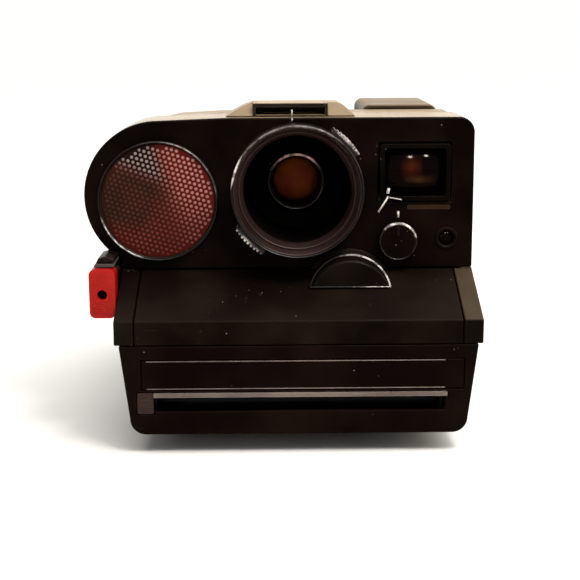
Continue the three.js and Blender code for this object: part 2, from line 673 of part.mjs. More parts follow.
function flashSocket() {
  const { x0, x1, z1, front, back } = SOCKET;
  const low = HEAD_TOP + GAP;
  const body = outline([[x0, low], [x1, low], [x1 - 4, z1 - 1], [x1 - 6, z1], [x0 + 9, z1], [x0 + 6, z1 - 1]]);
  const { half, z0: slot0, z1: slot1, depth } = FLASH_SLOT;
  const mid = (x0 + x1) / 2;
  return cut(
    alongY(body, front, back),
    block(mid - half, mid + half, front - 1, front + depth, slot0, slot1),
  );
}
piece("flash_socket", flashSocket(), BLACK);
const socketMid = (SOCKET.x0 + SOCKET.x1) / 2;
piece(
  "flash_contacts",
  block(socketMid - 9, socketMid + 9, SOCKET.front + 3, SOCKET.front + 11.5, 106, 106.5),
  BRASS,
);

// ---------- circuit board ----------
piece("circuit_board", joined(
  block(24, 53, -39, -37.6, 58.5, 79),
  block(30, 40, -37.8, -34, 62, 70),
  block(44, 50, -37.8, -33, 64, 76),
), GREEN);

// ---------- shutter button ----------
const stem = (r, y0, y1) => disc(r, y0, y1, ...BUTTON_MID, 20);
piece("shutter_button", cut(
  joined(
    alongY(roundedRect(BUTTON.x0, BUTTON.x1, BUTTON.z0, BUTTON.z1, 1.8), BUTTON.front, BUTTON.back, 5),
    stem(2.5, BUTTON.back - 1, -45),
  ),
  disc(1.6, -70, -58.5, BUTTON_MID[0], BUTTON_MID[1] - 0.3, 20),
), RED);
piece("button_housing", cut(
  alongY(roundedRect(BUTTON.x0 + 0.3, -HALF_WIDTH - GAP, BUTTON.z0 + 0.3, BUTTON.z1 - 2, 1.5), -52, -36, 4),
  stem(2.9, -60, -41),
), BLACK);

// The grey strip and the dark cap over the button: outlines as [x, height above the button].
const overButton = (corners) => outline(corners.map(([x, rise]) => [x, BUTTON.z1 + rise]));
const trimOutline = overButton([[-66, 0.4], [-59.4, 0.4], [-59.4, 1.4], [-65.4, 1.4]]);
piece("button_trim", alongY(trimOutline, -59.5, HEAD_FRONT - GAP), GREY);
const capOutline = overButton([[-65.2, 1.7], [-59.4, 1.7], [-59.4, 2.8], [-62, 3.8], [-64.4, 3.2]]);
piece("button_cap", alongY(capOutline, -59, HEAD_FRONT - GAP), BLACK);

// ---------- film door ----------
function doorOutline(inset = 0) {
  const top = DOOR_TOP - inset;
  const low = DOOR_BOTTOM + inset;
  const wide = 57 - inset;
  const narrow = 54 - inset;
  const r = 5 - inset * 1.25;
  const shape = new THREE.Shape();
  shape.moveTo(-narrow + r, low);
  shape.lineTo(narrow - r, low);
  shape.absarc(narrow - r, low + r, r, -Math.PI / 2, 0, false);
  shape.lineTo(wide, top);
  shape.lineTo(-wide, top);
  shape.lineTo(-narrow, low + r);
  shape.absarc(-narrow + r, low + r, r, Math.PI, 1.5 * Math.PI, false);
  return shape;
}
const PLATE = { x0: -50, x1: 52.5, z0: 21.2, z1: 30.9, depth: 1 };
const LIP = { x0: -47, x1: 47.4, z0: 18.6, z1: 20.2, left: -51.6 };

function filmDoor() {
  const shell = cut(
    alongY(doorOutline(), BAND_FRONT, DOOR_BACK),
    alongY(doorOutline(WALL), BAND_FRONT + WALL, DOOR_BACK + 5),
  );
  const ears = EARS.flatMap(([x0, x1]) => [
    rodX(HINGE.knuckle, x0, x1, HINGE.y, HINGE.z),
    block(x0, x1, HINGE.y - 1.6, HINGE.y + 0.6, HINGE.z, DOOR_BOTTOM + 1),
  ]);
  const plateHollow = block(
    PLATE.x0 - GAP, PLATE.x1 + GAP, BAND_FRONT - 1, BAND_FRONT + PLATE.depth, PLATE.z0 - GAP, PLATE.z1 + GAP,
  );
  return cut(
    joined(shell, ...ears),
    plateHollow,
    block(-EXIT.half, EXIT.half, BAND_FRONT - 1, -60, EXIT.z0, LIP.z1 + GAP),
    block(LIP.left - GAP, -EXIT.half + 1, BAND_FRONT - 1, BAND_FRONT + 1.3, 13, LIP.z1 + GAP),
    block(LIP.x1 - 1, LIP.x1 + GAP, BAND_FRONT - 1, -60, EXIT.z1 - GAP, LIP.z1 + GAP),
    block(47.8, 53.8, -64, DOOR_BACK + 1, 30, DOOR_TOP + 1),
    rodX(HINGE.pin + GAP, -40, 40, HINGE.y, HINGE.z, 16),
  );
}
piece("film_door", filmDoor(), BLACK);
piece("door_faceplate", block(
  PLATE.x0, PLATE.x1, BAND_FRONT + 0.05, BAND_FRONT + PLATE.depth - GAP, PLATE.z0, PLATE.z1,
), GLOSS_BLACK);
piece("exit_lip", joined(
  block(-EXIT.half + GAP, LIP.x1, BAND_FRONT + 0.05, BAND_FRONT + WALL + 1, LIP.z0, LIP.z1),
  block(LIP.left, -EXIT.half + 0.6, BAND_FRONT + 0.05, BAND_FRONT + 1, 13.3, LIP.z1),
), GREY);

// ---------- rollers and their drive ----------
const PLATE_X = 46.4;
const END_PLATE = outline([[-62, 9.2], [-51.5, 9.2], [-51.5, 26], [-62, 26]]);

function rollerFrame() {
  const ends = [alongX(END_PLATE, -PLATE_X - 1, -PLATE_X), alongX(END_PLATE, PLATE_X, PLATE_X + 1)];
  const bar = block(-PLATE_X - 1, PLATE_X + 1, -62, -51.5, 25, 26);
  const bores = [ROLLER.upper, ROLLER.lower].map((z) => rodX(2.3, -60, 60, ROLLER.y, z));
  return cut(joined(...ends, bar), ...bores);
}
piece("roller_frame", rollerFrame(), STEEL);
function roller(z) {
  return joined(
    rodX(ROLLER.radius, -ROLLER.half, ROLLER.half, ROLLER.y, z, 24),
    rodX(2, -48.2, GEAR_PLANE.x1 + 0.2, ROLLER.y, z, 16),
  );
}
const rollerPitch = pitchOf(ROLLER_TEETH.roller, ROLLER_MODULE);
const idlerPitch = pitchOf(ROLLER_TEETH.idler, ROLLER_MODULE);
const motorPitch = pitchOf(ROLLER_TEETH.motor, ROLLER_MODULE);
const upperAt = [ROLLER.y, ROLLER.upper];
const lowerAt = [ROLLER.y, ROLLER.lower];
const motorAt = [MOTOR.y, MOTOR.z];
const idlerAt = idlerCentre(motorAt, upperAt, motorPitch + idlerPitch, idlerPitch + rollerPitch);
const upperPhase = angleTo(upperAt, lowerAt);
const lowerPhase = meshedPhase(upperPhase, upperPhase, ROLLER_TEETH.roller, ROLLER_TEETH.roller);
const idlerPhase = meshedPhase(
  angleTo(upperAt, idlerAt), upperPhase, ROLLER_TEETH.roller, ROLLER_TEETH.idler,
);
const motorPhase = meshedPhase(
  angleTo(idlerAt, motorAt), idlerPhase, ROLLER_TEETH.idler, ROLLER_TEETH.motor,
);

function driveGear(teeth, phase, bore, [y, z]) {
  const shape = gearOutline(teeth, ROLLER_MODULE, phase, bore);
  return moved(alongX(shape, GEAR_PLANE.x0, GEAR_PLANE.x1, 4), 0, y, z);
}
piece("upper_roller", roller(ROLLER.upper), ROLLER_STEEL);
piece("upper_roller_gear", driveGear(ROLLER_TEETH.roller, upperPhase, 2.3, upperAt), NYLON);
piece("lower_roller", roller(ROLLER.lower), ROLLER_STEEL);
piece("lower_roller_gear", driveGear(ROLLER_TEETH.roller, lowerPhase, 2.3, lowerAt), NYLON);
piece("idler_gear", driveGear(ROLLER_TEETH.idler, idlerPhase, 1.6, idlerAt), NYLON);
piece("motor_pinion", driveGear(ROLLER_TEETH.motor, motorPhase, 1.1, motorAt), BRASS);
piece("motor", joined(
  rodX(MOTOR.radius, MOTOR.x0, MOTOR.x1, ...motorAt, 24),
  rodX(0.8, MOTOR.x1 - 1, GEAR_PLANE.x1, ...motorAt, 12),
), STEEL);
piece("gear_plate", joined(
  alongX(outline([
    [idlerAt[0] - 4, idlerAt[1] - 4], [idlerAt[0] + 4, idlerAt[1] - 4],
    [motorAt[0] + 3, motorAt[1] + 4], [motorAt[0] - 3, motorAt[1] + 4],
  ]), 50.9, 52.1),
  rodX(1.3, 48, 51, ...idlerAt, 12),
), STEEL);

// ---------- pick arm and latch ----------
piece("pick_arm", joined(
  block(50.4, 51.4, 0, 56.5, 13, 16),
  block(46.9, 51.4, 55.5, 56.5, 13, 16),
), STEEL);
piece("door_latch", joined(
  block(55.6, 58.6, LATCH.y0, LATCH.y1, LATCH.z0, LATCH.z1),
  ...[-45, -43, -41, -39].map((y) => block(58.4, LATCH_OUT, y - 0.5, y + 0.5, LATCH.z0 + 1, LATCH.z1 - 1)),
), BLACK);

const instantCamera = new THREE.Group();
instantCamera.add(camera);
export default instantCamera;
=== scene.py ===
"""A rigid sonar-focusing instant camera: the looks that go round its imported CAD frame.

Metres, +Z up, the front faces -Y. Lengths named in millimetres are turned into metres by MM.
"""
import json
import math

import bmesh
import bpy
from mathutils import Matrix, Vector


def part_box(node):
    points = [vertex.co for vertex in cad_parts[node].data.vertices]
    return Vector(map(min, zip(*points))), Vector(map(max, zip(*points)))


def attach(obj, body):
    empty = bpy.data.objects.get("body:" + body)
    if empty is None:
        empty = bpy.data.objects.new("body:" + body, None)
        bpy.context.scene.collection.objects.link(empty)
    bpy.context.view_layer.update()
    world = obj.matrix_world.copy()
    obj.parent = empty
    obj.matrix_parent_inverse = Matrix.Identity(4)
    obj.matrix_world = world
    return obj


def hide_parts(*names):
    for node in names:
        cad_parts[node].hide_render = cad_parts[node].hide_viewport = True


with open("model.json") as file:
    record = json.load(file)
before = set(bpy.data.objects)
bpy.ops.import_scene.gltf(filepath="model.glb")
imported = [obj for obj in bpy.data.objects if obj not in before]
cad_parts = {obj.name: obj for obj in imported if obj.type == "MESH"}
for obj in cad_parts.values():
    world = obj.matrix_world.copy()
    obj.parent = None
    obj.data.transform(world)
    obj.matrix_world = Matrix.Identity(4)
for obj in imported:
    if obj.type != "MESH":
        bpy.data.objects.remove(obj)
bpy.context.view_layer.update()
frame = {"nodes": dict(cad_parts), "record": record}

MM = 0.001
TURN = 2 * math.pi


def middle(node):
    low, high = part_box(node)
    return (low + high) / 2


def in_mm(node):
    """The lowest and highest corners of a CAD node, in millimetres."""
    low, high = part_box(node)
    return low / MM, high / MM


LENS = middle("front_lens") / MM
SONAR = middle("sonar_grille") / MM
DIAL = middle("exposure_dial") / MM
PANEL_FRONT = in_mm("head_panel")[0].y


# ---------- camera, lights, floor ----------
def make_camera():
    """Stands a little above and to the left of the lens axis, and looks down at the middle."""
    eye = Vector((-2.1, -456.8, 135)) * MM
    yaw, pitch, roll = (math.radians(a) for a in (0.67, 11.98, -0.26))
    forward = Vector(
        (math.sin(yaw) * math.cos(pitch), math.cos(yaw) * math.cos(pitch), -math.sin(pitch))
    )
    level = Vector((math.cos(yaw), -math.sin(yaw), 0))
    up = level.cross(forward)
    right = math.cos(roll) * level + math.sin(roll) * up
    over = right.cross(forward)
    data = bpy.data.cameras.new("view")
    data.sensor_width = 36
    data.lens = 77.8
    data.clip_start = 0.01
    camera = bpy.data.objects.new("view", data)
    turn = Matrix((right, over, -forward)).transposed()
    camera.matrix_world = Matrix.Translation(eye) @ turn.to_4x4()
    bpy.context.collection.objects.link(camera)
    bpy.context.scene.camera = camera


def softbox(name, place, aim, size, power, color=(1, 1, 1)):
    """A rectangular lamp at place that shines towards aim."""
    data = bpy.data.lights.new(name, "AREA")
    data.shape = "RECTANGLE"
    data.size, data.size_y = size
    data.energy = power
    data.color = color
    light = bpy.data.objects.new(name, data)
    light.location = place
    light.rotation_euler = (Vector(aim) - Vector(place)).to_track_quat("-Z", "Y").to_euler()
    light.visible_camera = False
    bpy.context.collection.objects.link(light)
    return light


def sunlight(power, spread, elevation, azimuth):
    """A broad, even light from above; azimuth 0 comes from behind the object, 90 from its right."""
    data = bpy.data.lights.new("ceiling_glow", "SUN")
    data.energy = power
    data.angle = math.radians(spread)
    data.color = (1, 0.97, 0.93)
    light = bpy.data.objects.new("ceiling_glow", data)
    e, a = math.radians(elevation), math.radians(azimuth)
    towards = Vector((math.sin(a) * math.cos(e), math.cos(a) * math.cos(e), math.sin(e)))
    light.rotation_euler = towards.to_track_quat("Z", "Y").to_euler()
    bpy.context.collection.objects.link(light)


def light_room():
    """A dim, even room behind a white studio background, with light from above and the right."""
    world = bpy.data.worlds.new("room")
    world.use_nodes = True
    tree = world.node_tree
    air = tree.nodes["Background"]
    air.inputs["Color"].default_value = (1, 0.99, 0.975, 1)
    seen = tree.nodes.new("ShaderNodeLightPath").outputs["Is Camera Ray"]
    level = tree.nodes.new("ShaderNodeMapRange")
    level.inputs["To Min"].default_value = 0.24
    level.inputs["To Max"].default_value = 1.02
    tree.links.new(seen, level.inputs["Value"])
    tree.links.new(level.outputs["Result"], air.inputs["Strength"])
    bpy.context.scene.world = world
    sunlight(2.95, 80, 79, 100)
    softbox("front_top", (0.24, -0.34, 0.6), (0, -0.05, 0.08), (0.2, 0.12), 2.2, (1, 0.95, 0.9))
    softbox("right_side", (0.7, -0.1, 0.35), (0, 0, 0.06), (0.3, 0.4), 1.6, (1, 0.92, 0.8))
    softbox("left_low", (-0.55, -0.75, 0.22), (0, 0, 0.07), (0.2, 0.25), 0.5, (1, 0.95, 0.9))
    softbox("back_wall", (0, 1.3, 0.42), (0, 0, 0.1), (2.6, 0.8), 5.5, (1, 0.96, 0.88))
    # Two small lamps that show only as glints on glossy faces, above all on the finder window.
    for name, place in (("glint_middle", (0.05, -0.89, 0.63)), ("glint_right", (0.4, -0.79, 0.65))):
        lamp = softbox(name, place, (0.045, -0.045, 0.09), (0.07, 0.07), 1.4)
        lamp.visible_diffuse = False


def make_floor():
    """Pale paper, which looks darker in reflections than to the eye."""
    bpy.ops.mesh.primitive_circle_add(vertices=96, radius=6, fill_type="NGON")
    floor = bpy.context.object
    floor.name = "floor"
    look = Look("pale_paper", (252, 251, 249), 0.9, specular=0.2)
    look.tint(look.ramp(look.noise(14, 3), 0.35, 0.7, 0, 0.35), (247, 246, 243))
    look.tint(look.tree.nodes.new("ShaderNodeLightPath").outputs["Is Glossy Ray"], (104, 98, 92))
    floor.data.materials.append(look.material)


# ---------- materials ----------
def tone(r, g, b):
    """An sRGB colour from 0 to 255 as the linear colour that shaders take."""
    return tuple(c / 3294.6 if c < 10.3 else ((c / 255 + 0.055) / 1.055) ** 2.4 for c in (r, g, b))


class Look:
    """A Principled material, with short ways to add procedural detail in object coordinates."""

    def __init__(self, name, color, roughness, metallic=0.0, specular=0.5, shine=(1, 1, 1)):
        self.material = bpy.data.materials.new(name)
        self.material.use_nodes = True
        self.tree = self.material.node_tree
        self.shader = self.tree.nodes["Principled BSDF"]
        self.place = self.tree.nodes.new("ShaderNodeTexCoord").outputs["Object"]
        self.base = self.color_of(color)
        self.shader.inputs["Roughness"].default_value = roughness
        self.shader.inputs["Metallic"].default_value = metallic
        self.shader.inputs["Specular IOR Level"].default_value = specular
        self.shader.inputs["Specular Tint"].default_value = (*shine, 1)
        self.material.diffuse_color = (*tone(*color), 1)
        self.normal = None
        self.link(self.base, self.shader.inputs["Base Color"])

    def link(self, output, socket):
        self.tree.links.new(output, socket)

    def color_of(self, color):
        node = self.tree.nodes.new("ShaderNodeRGB")
        node.outputs[0].default_value = (*tone(*color), 1)
        return node.outputs[0]

    def spread(self, scale, stretch=(1, 1, 1)):
        node = self.tree.nodes.new("ShaderNodeMapping")
        node.inputs["Scale"].default_value = [scale * s for s in stretch]
        self.link(self.place, node.inputs["Vector"])
        return node.outputs["Vector"]

    def noise(self, scale, detail, stretch=(1, 1, 1)):
        node = self.tree.nodes.new("ShaderNodeTexNoise")
        node.inputs["Scale"].default_value = 1
        node.inputs["Detail"].default_value = detail
        self.link(self.spread(scale, stretch), node.inputs["Vector"])
        return node.outputs["Fac"]

    def cells(self, scale):
        node = self.tree.nodes.new("ShaderNodeTexVoronoi")
        node.inputs["Scale"].default_value = 1
        self.link(self.spread(scale), node.inputs["Vector"])
        return node.outputs["Distance"]

    def ramp(self, value, low, high, start, end):
        """Runs from start to end as value goes from low to high."""
        node = self.tree.nodes.new("ShaderNodeMapRange")
        self.link(value, node.inputs["Value"])
        ends = {"From Min": low, "From Max": high, "To Min": start, "To Max": end}
        for socket, number in ends.items():
            node.inputs[socket].default_value = number
        return node.outputs["Result"]

    def both(self, a, b):
        """High only where both values are high."""
        node = self.tree.nodes.new("ShaderNodeMath")
        node.operation = "MULTIPLY"
        node.use_clamp = True
        self.link(a, node.inputs[0])
        self.link(b, node.inputs[1])
        return node.outputs[0]

    def tint(self, amount, color):
        """Mixes another colour in where amount is high."""
        node = self.tree.nodes.new("ShaderNodeMix")
        node.data_type = "RGBA"
        self.link(amount, node.inputs["Factor"])
        self.link(self.base, node.inputs["A"])
        node.inputs["B"].default_value = (*tone(*color), 1)
        self.base = node.outputs["Result"]
        self.link(self.base, self.shader.inputs["Base Color"])

    def rough(self, value, start, end, low=0.3, high=0.7):
        self.link(self.ramp(value, low, high, start, end), self.shader.inputs["Roughness"])

    def bump(self, height, strength, depth):
        node = self.tree.nodes.new("ShaderNodeBump")
        node.inputs["Strength"].default_value = strength
        node.inputs["Distance"].default_value = depth * MM
        self.link(height, node.inputs["Height"])
        if self.normal:
            self.link(self.normal, node.inputs["Normal"])
        self.normal = node.outputs["Normal"]
        self.link(self.normal, self.shader.inputs["Normal"])

    def slant(self, centre, direction):
        """Distance from centre along a direction, in millimetres."""
        offset = self.tree.nodes.new("ShaderNodeVectorMath")
        offset.operation = "SUBTRACT"
        self.link(self.place, offset.inputs[0])
        offset.inputs[1].default_value = centre * MM
        product = self.tree.nodes.new("ShaderNodeVectorMath")
        product.operation = "DOT_PRODUCT"
        self.link(offset.outputs[0], product.inputs[0])
        product.inputs[1].default_value = Vector(direction) / MM
        return product.outputs["Value"]

    def hump(self, distance, peak, half_width):
        """High at the peak, and falling to nothing half_width to each side of it."""
        rise = self.ramp(distance, peak - half_width, peak, 0, 1)
        return self.both(rise, self.ramp(distance, peak, peak + half_width, 1, 0))

    def facing_up(self):
        node = self.tree.nodes.new("ShaderNodeSeparateXYZ")
        self.link(self.tree.nodes.new("ShaderNodeNewGeometry").outputs["Normal"], node.inputs[0])
        return node.outputs["Z"]

    def edges(self, radius):
        """High where the surface turns sharply within radius millimetres."""
        rounded = self.tree.nodes.new("ShaderNodeBevel")
        rounded.samples = 4
        rounded.inputs["Radius"].default_value = radius * MM
        product = self.tree.nodes.new("ShaderNodeVectorMath")
        product.operation = "DOT_PRODUCT"
        self.link(rounded.outputs["Normal"], product.inputs[0])
        self.link(
            self.tree.nodes.new("ShaderNodeNewGeometry").outputs["Normal"], product.inputs[1]
        )
        return self.ramp(product.outputs["Value"], 0.98, 0.8, 0, 1)


WARM = (1, 0.8, 0.68)
# The tint of the paler film on faces that tilt upwards.
UPWARD_TINT = (192, 166, 130)
SPECK = (170, 160, 146)


def moulded(name, color, wear_and_highlight_color, roughness, specular, film=0.0, grain=0.35, wear_and_highlight=0.6, film_from=0.5):
    """Moulded plastic: fine stipple, smudges, hairline scratches, dust specks, and edges rubbed paler,
    which is partly wear and partly a painted highlight along them.
    A paler film lies, in patches, on faces whose upward tilt is more than film_from."""
    look = Look(name, color, roughness, specular=specular, shine=WARM)
    cloud = look.noise(45, 4)
    look.tint(look.ramp(cloud, 0.4, 0.75, 0, 0.35), wear_and_highlight_color)
    hair = look.noise(1, 2, (60, 900, 2600))
    look.tint(look.ramp(hair, 0.72, 0.78, 0, 0.5), wear_and_highlight_color)
    # Edges rubbed paler: partly wear, partly a painted highlight along the edges.
    rubbed_and_lit_edges = look.both(look.edges(0.7), look.ramp(look.noise(220, 3), 0.42, 0.62, 0.15, wear_and_highlight))
    look.tint(rubbed_and_lit_edges, wear_and_highlight_color)
    if film:
        up = look.ramp(look.facing_up(), film_from, 0.98, 0, film)
        look.tint(look.both(up, look.ramp(look.noise(110, 5), 0.3, 0.7, 0.8, 1)), UPWARD_TINT)
    speck = look.ramp(look.cells(420), 0.04, 0.1, 1, 0)
    look.tint(look.both(speck, look.ramp(look.noise(70, 2), 0.56, 0.66, 0, 0.55)), SPECK)
    look.rough(cloud, roughness - 0.07, roughness + 0.14)
    look.bump(look.noise(2400, 2), grain, 0.03)
    return look.material


def metal(name, color, dark, roughness, brushed=(1, 1, 1)):
    """Bare metal with darker patches; brushed stretches its fine lines."""
    look = Look(name, color, roughness, metallic=1.0)
    look.tint(look.ramp(look.noise(130, 4), 0.35, 0.75, 0, 0.5), dark)
    lines = look.noise(900, 2, brushed)
    look.rough(lines, roughness - 0.06, roughness + 0.14)
    look.bump(lines, 0.25, 0.02)
    return look.material


def rim(name, centre, *arcs, color=(14, 9, 8)):
    """A polished edge with painted highlights; each arc is (direction, start, end, colour), a highlight
    painted in that colour beyond start millimetres.
    """
    look = Look(name, color, 0.25, specular=0.5)
    for direction, start, end, highlight_color in arcs:
        patches = look.ramp(look.noise(420, 2), 0.42, 0.56, 0.25, 1)
        look.tint(look.both(look.ramp(look.slant(centre, direction), start, end, 0, 1), patches), highlight_color)
    return look.material


def glass(name, color, glow, roughness=0.04):
    """Dark coated glass seen from outside, with faint smears."""
    look = Look(name, color, roughness, specular=0.12, shine=WARM)
    look.tint(look.ramp(look.noise(60, 3), 0.45, 0.7, 0, 0.7), glow)
    look.rough(look.noise(90, 4), roughness, roughness + 0.1, 0.45, 0.75)
    return look.material


def window_glass():
    """The finder's coated pane: near black, with painted brown glows of light that lie across it."""
    look = Look("finder_glass", (5, 1, 1), 0.05, specular=0.14, shine=WARM)
    centre = middle("viewfinder_window") / MM
    look.rough(look.noise(90, 3), 0.05, 0.12)
    streaks = look.ramp(look.noise(1, 2, (60, 1, 170)), 0.3, 0.6, 0.5, 1)
    # Painted glows of light in the pane: a red one near the middle and a tan streak lower down.
    painted_red_glow = (-1, 1.5, 4, 4.5, (70, 26, 13))
    painted_tan_glow = (1.5, -2.5, 5.5, 1.6, (66, 42, 22))
    for x, z, half_width, half_height, glow in (painted_red_glow, painted_tan_glow):
        across = look.hump(look.slant(centre, (1, 0, 0)), x, half_width)
        upward = look.hump(look.slant(centre, (0, 0, 1)), z, half_height)
        look.tint(look.both(look.both(across, upward), streaks), glow)
    return look.material


def lens_glass():
    """Coated lens: a painted orange-brown glow in the middle, where the face turns towards the view, that
    fades to near black.
    """
    look = Look("coated_lens", (20, 6, 4), 0.12, specular=0.06, shine=(1, 0.6, 0.4))
    weight = look.tree.nodes.new("ShaderNodeLayerWeight")
    weight.inputs["Blend"].default_value = 0.35
    # Painted glow, strongest where the face turns towards the view.
    centre = look.ramp(weight.outputs["Facing"], 0.02, 0.2, 0.9, 0)
    look.tint(centre, (108, 44, 28))
    look.tint(look.both(centre, look.ramp(look.noise(150, 2), 0.4, 0.62, 0, 0.8)), (120, 62, 16))
    return look.material


def shade_side(look):
    """High over the sonar disc's left and middle, where painted shade makes it dark olive."""
    across = look.ramp(look.slant(SONAR, (-1, 0, 0.25)), -5, 3, 0, 1)
    below_top = look.ramp(look.slant(SONAR, (0.4, 0, 1)), 4, 9, 1, 0)
    above_foot = look.ramp(look.slant(SONAR, (0, 0, 1)), -12, -5, 0, 1)
    patches = look.ramp(look.noise(90, 2), 0.3, 0.55, 0.6, 1)
    return look.both(look.both(across, patches), look.both(below_top, above_foot))


def lit_side(look):
    """High over the upper right of the sonar disc, where light is painted."""
    right = look.ramp(look.slant(SONAR, (1, 0, 0.3)), 2, 9, 0, 1)
    return look.both(right, look.ramp(look.slant(SONAR, (0, 0, 1)), -9, 2, 0.2, 1))


def shaded_crown(look):
    """High over the upper left, where painted shade makes the mesh black and painted light makes the holes
    bright.
    """
    top = look.ramp(look.slant(SONAR, (0.45, 0, 1)), 4, 9, 0, 1)
    patches = look.ramp(look.noise(120, 2), 0.34, 0.5, 0.35, 1)
    return look.both(look.both(top, patches), look.ramp(look.slant(SONAR, (1, 0, 0.3)), 2, 7, 1, 0))


def copper_paint():
    """The grille's mesh: dark copper in random patches from black to red, with painted light at the upper
    right and painted shade over the upper left, left and middle.
    """
    look = Look("copper_mesh", (76, 12, 6), 0.4, metallic=0.2, specular=0.2, shine=WARM)
    look.tint(look.ramp(look.noise(60, 2), 0.4, 0.65, 0, 0.5), (74, 22, 9))
    look.tint(lit_side(look), (98, 11, 7))
    look.tint(shaded_crown(look), (28, 9, 5))
    look.tint(shade_side(look), (44, 18, 6))
    look.rough(look.noise(300, 3), 0.32, 0.55)
    look.bump(look.noise(1800, 2), 0.3, 0.03)
    return look.material


def gold_foil():
    """The foil behind the mesh, with painted light: palest at the upper right and upper left, darker in
    painted shade on the left.
    """
    look = Look("gold_foil", (196, 92, 72), 0.4, metallic=0.1, specular=0.6)
    look.tint(look.ramp(look.noise(70, 2), 0.4, 0.62, 0, 0.6), (132, 54, 38))
    look.tint(lit_side(look), (255, 206, 192))
    look.tint(shaded_crown(look), (246, 224, 214))
    look.tint(shade_side(look), (104, 56, 32))
    look.bump(look.noise(160, 3), 0.5, 0.3)
    return look.material


def rubber():
    """Old soft rubber with a pale bloom."""
    look = Look("soft_rubber", (44, 36, 29), 0.75, specular=0.3, shine=WARM)
    mottle = look.noise(170, 5)
    look.tint(look.ramp(mottle, 0.42, 0.62, 0, 0.65), (108, 92, 74))
    look.tint(look.ramp(look.noise(120, 3), 0.56, 0.7, 0, 0.5), (120, 84, 80))
    look.bump(look.noise(900, 3), 0.6, 0.08)
    return look.material


def board():
    """A green circuit board with paler tracks."""
    look = Look("circuit_board", (28, 66, 40), 0.45)
    look.tint(look.ramp(look.noise(1, 0, (900, 40, 240)), 0.5, 0.52, 0, 0.6), (60, 104, 62))
    look.bump(look.cells(500), 0.3, 0.05)
    return look.material


FINISHES = {
    "abs_black": moulded("moulded_black", (13, 7, 5), (44, 34, 27), 0.4, 0.14, film=0.06),
    "gloss_black": moulded("gloss_black", (4, 2, 1), (46, 38, 34), 0.18, 0.12, grain=0.1, wear_and_highlight=0.9),
    "sonar_copper": copper_paint(),
    "sonar_gold": gold_foil(),
    "red_plastic": moulded("red_plastic", (166, 6, 6), (200, 38, 28), 0.33, 0.3, grain=0.2),
    "light_grey": moulded("grey_trim", (98, 88, 84), (160, 150, 142), 0.34, 0.3, grain=0.2),
    "steel": metal("bright_steel", (150, 152, 156), (104, 106, 110), 0.32, (1, 14, 14)),
    "roller_steel": metal("roller_steel", (62, 61, 62), (40, 40, 42), 0.4, (14, 1, 1)),
    "brass": metal("brass", (176, 140, 68), (120, 92, 44), 0.3),
    "glass": glass("dark_glass", (6, 2, 1), (40, 15, 8)),
    "mirror": metal("mirror", (232, 236, 240), (216, 222, 228), 0.08),
    "rubber": rubber(),
    "nylon": moulded("nylon", (214, 208, 192), (236, 232, 222), 0.45, 0.4, grain=0.3),
    "counter_white": moulded("counter_white", (224, 222, 214), (240, 238, 232), 0.4, 0.4),
    "circuit_green": board(),
}
PAINT_WHITE = moulded("white_paint", (206, 198, 192), (236, 230, 224), 0.45, 0.3, grain=0.2)
FRONT_BLACK = moulded("front_black", (7, 2, 1), (40, 24, 18), 0.4, 0.06, wear_and_highlight=0.9)
DOOR_BLACK = moulded("door_black", (10, 3, 2), (34, 22, 16), 0.46, 0.07, wear_and_highlight=0.8)
DECK_BLACK = moulded("deck_black", (11, 5, 3), (44, 34, 23), 0.5, 0.07, wear_and_highlight=1)
# A paler copy of the deck's black: painted light on the deck's right end, which faces the light.
LIT_FLANK_BLACK = moulded("lit_flank_black", (13, 7, 4), (50, 40, 26), 0.5, 0.08, film=0.1, wear_and_highlight=1)
SILL_BROWN = moulded("sill_brown", (40, 25, 15), (62, 44, 30), 0.5, 0.1)
DRUM_BLACK = moulded("drum_black", (8, 3, 2), (44, 36, 32), 0.3, 0.09, wear_and_highlight=0.6)
TRIM_GREY = moulded("trim_grey", (70, 64, 62), (110, 102, 96), 0.5, 0.1)
TOP_BLACK = moulded("top_black", (13, 9, 7), (58, 48, 40), 0.22, 0.5, film=0.8, wear_and_highlight=0.9)
# Brass darkened as painted shade, for the contacts inside the flash socket's slot.
SHADED_CONTACT_BRASS = metal("shaded_brass", (70, 52, 26), (40, 30, 16), 0.45)
COVER_BLACK = moulded("cover_black", (11, 7, 5), (40, 31, 25), 0.34, 0.3, 0.7, wear_and_highlight=0.9, film_from=0.85)
FINDER_PALE_FILM = moulded("finder_pale_film", (18, 13, 9), (84, 68, 52), 0.4, 0.3, 0.42, wear_and_highlight=0.9, film_from=-0.2)
RING_BLACK = moulded("ring_black", (11, 5, 4), (60, 44, 40), 0.3, 0.16, grain=0.15, wear_and_highlight=0.7)
BAND_BROWN = moulded("band_brown", (34, 21, 19), (80, 62, 58), 0.34, 0.5, grain=0.2, wear_and_highlight=0.5)
DRUM = middle("focus_drive_cover") / MM
# Polished edges with painted highlights: pale arcs on the sides that the light would catch; GLINT is the
# palest painted highlight.
GLINT = (236, 226, 220)
RING_RIM = rim(
    "ring_rim", LENS, ((-0.2, 0, 1), 12, 20, (120, 108, 103)), ((-1, 0, 0.35), 21.7, 22.4, GLINT)
)
GRIP_RIM = rim(
    "grip_rim", LENS, ((1, 0, 1), 31.4, 33, GLINT), ((-1, 0, -1), 31, 33, GLINT), color=(30, 23, 21)
)
BARREL_RIM = rim("barrel_rim", LENS, ((0, 0, 1), 4, 8, (236, 190, 184)))
DIAL_RIM = rim("dial_rim", DIAL, ((0.25, 0, 1), 2.6, 4.6, GLINT))
DRUM_RIM = rim("drum_rim", DRUM, ((1, 0, 0.4), -2, 6, GLINT), color=(18, 12, 10))
SONAR_RIM = rim(
    "sonar_rim", SONAR, ((1, 0, 1), 20, 27, (150, 138, 133)), ((-1, 0, -1), 23.5, 26.5, GLINT),
    color=(22, 15, 15),
)
